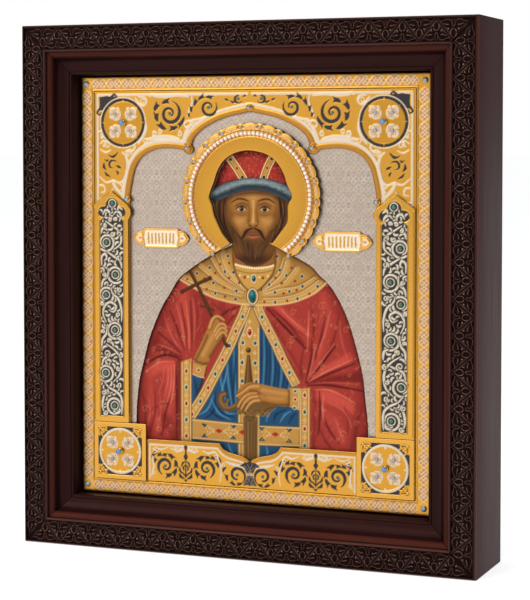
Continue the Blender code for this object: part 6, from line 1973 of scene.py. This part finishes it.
def stone_tree(name, material, setting):
    tree, given, end = geometry_tree(name, {"Radius": 0.0012, "Rise": 0.0008, "Rim": 0.0003})
    ball = then(tree, "MeshUVSphere", Segments=14, Rings=8, Radius=1.0)
    size = then(tree, "ShaderNodeCombineXYZ", X=given["Radius"], Y=given["Rise"], Z=given["Radius"])
    stone = then(tree, "Transform", Geometry=ball, Scale=size)
    circle = then(tree, "CurvePrimitiveCircle", Resolution=14, Radius=given["Radius"])
    wire = then(tree, "CurvePrimitiveCircle", Resolution=6, Radius=given["Rim"])
    rim = then(tree, "CurveToMesh", Curve=circle, Profile_Curve=wire)
    rim = then(tree, "Transform", Geometry=rim, Rotation=TURN_UP)
    whole = joined(tree, (finished(tree, stone, material), finished(tree, rim, setting)))
    tree.links.new(at_points(tree, given["Geometry"], whole), end)
    return tree


def stones(tree, radius, rise, rim, name, spots, replaced=()):
    """Sizes in millimetres; spots are front-view places with their depth."""
    run_tree(tree, {"Radius": radius * MM, "Rise": rise * MM, "Rim": rim * MM}, name,
        [place(*spot) for spot in spots], replaced)


def on_both_sides(*spots):
    return [(side * x, *rest) for side in (-1, 1) for x, *rest in spots]


pale_stones = stone_tree("pale_stones", PALE_BLUE, BRIGHT_GOLD)
green_stones = stone_tree("green_stones", EMERALD, BRIGHT_GOLD)
stones(pale_stones, 1.25, 1.1, 0.35, "halo_rim_stones",
    [(*halo_spot(STONE_R, t), HALO_FRONT) for t in STONE_ANGLES],
    [f"halo_stone_{i + 1:02d}" for i in range(18)])
petals = [(x + PETAL_REACH * cos(t), z + PETAL_REACH * sin(t), depth - 0.1) for side in (-1,
    1) for x, z,
    depth in ((side * MEDALLION_TOP[0], MEDALLION_TOP[1], ARCH_FRONT),
    (side * SQUARE_X, SQUARE_Z, APPLIED_FRONT)) for t in np.radians((45, 135, 225, 315))]
stones(pale_stones, 1.05, 0.8, 0.3, "petal_stones", petals)
stones(green_stones, 1.25, 0.8, 0.2, "scroll_stones",
    [(*spot, ARCH_FRONT) for spot in on_both_sides((65.5, 332.2), (33.5, 336.6), (9.5, 343.0),
    (70.0, 63.2), (35.2, 63.2), (10.4, 60.0))])
stones(stone_tree("dark_set_stones", EMERALD, DARK_SETTING), 1.7, 0.9, 0.25, "column_stones",
    [(*spot, APPLIED_FRONT + 0.1) for spot in on_both_sides(*COLUMN_STONES)])
stones(pale_stones, 0.8, 0.6, 0.25, "cartouche_stones",
    on_both_sides((55.3, 237.5, 21.7), (91.0, 237.5, 21.7)))

# %% A tree for studs: a gilt foot, a stem and a round head
def stud_tree(name, material, metal):
    tree, given, end = geometry_tree(name,
        {"Foot": 0.0028, "Stem": 0.0012, "Height": 0.003, "Head": 0.002, "Dome": 0.0013})
    half, top = [tree.nodes.new("ShaderNodeMath") for _ in range(2)]
    for part, factor in ((half, -0.5), (top, -1.0)):
        part.operation = "MULTIPLY"
        tree.links.new(given["Height"], part.inputs[0])
        part.inputs[1].default_value = factor
    foot = then(tree, "MeshUVSphere", Segments=16, Rings=8, Radius=given["Foot"])
    foot = then(tree, "Transform", Geometry=foot, Scale=(1.0, 0.32, 1.0))
    stem = then(tree, "MeshCylinder", Vertices=14, Radius=given["Stem"], Depth=given["Height"])
    stem = then(tree, "Transform", Geometry=stem, Rotation=TURN_UP,
        Translation=then(tree, "ShaderNodeCombineXYZ", Y=half.outputs[0]))
    ball = then(tree, "MeshUVSphere", Segments=16, Rings=10, Radius=1.0)
    size = then(tree, "ShaderNodeCombineXYZ", X=given["Head"], Y=given["Dome"], Z=given["Head"])
    ball = then(tree, "Transform", Geometry=ball, Scale=size,
        Translation=then(tree, "ShaderNodeCombineXYZ", Y=top.outputs[0]))
    whole = joined(tree,
        [finished(tree, *part) for part in ((foot, metal), (stem, metal), (ball, material))])
    tree.links.new(at_points(tree, given["Geometry"], whole), end)
    return tree


def studs(tree, sizes, name, spots, replaced):
    """Sizes in millimetres: foot, stem, height, head and dome."""
    named = dict(zip(("Foot", "Stem", "Height", "Head", "Dome"), (size * MM for size in sizes)))
    run_tree(tree, named, name, [place(*spot) for spot in spots], replaced)


blue_studs = stud_tree("blue_studs", SKY_BLUE, BRIGHT_GOLD)
pale_studs = stud_tree("pale_studs", PALE_BLUE, BRIGHT_GOLD)
ARCH_STUD = (2.6, 1.7, 2.0, 1.4, 1.0)
for side, word in ((-1, "left"), (1, "right")):
    studs(blue_studs, (2.6, 1.6, 2.6, 2.2, 1.4), f"medallion_studs_{word}",
        [(side * MEDALLION_TOP[0], MEDALLION_TOP[1], ARCH_FRONT - 0.2),
        (side * SQUARE_X, SQUARE_Z, APPLIED_FRONT - 0.2)],
        [f"medallion_stud_top_{word}", f"medallion_stud_bottom_{word}"])
    studs(pale_studs, (2.4, 1.4, 0.6, 1.9, 1.2), f"border_studs_{word}",
        [(side * 136.3, 355.2, BORDER_FRONT), (side * 136.3, 44.8, BORDER_FRONT)],
        [f"border_stud_top_{word}", f"border_stud_bottom_{word}"])
    studs(pale_studs, ARCH_STUD, f"arch_studs_{word}",
        [(side * 50.4, 306.0, 21.0), (side * 100.6, 266.9, APPLIED_FRONT)],
        [f"arch_stud_knee_{word}", f"arch_stud_foot_{word}"])
studs(pale_studs, ARCH_STUD, "arch_stud_crown", [(0.0, 336.0, 21.2)], ["arch_stud_top"])
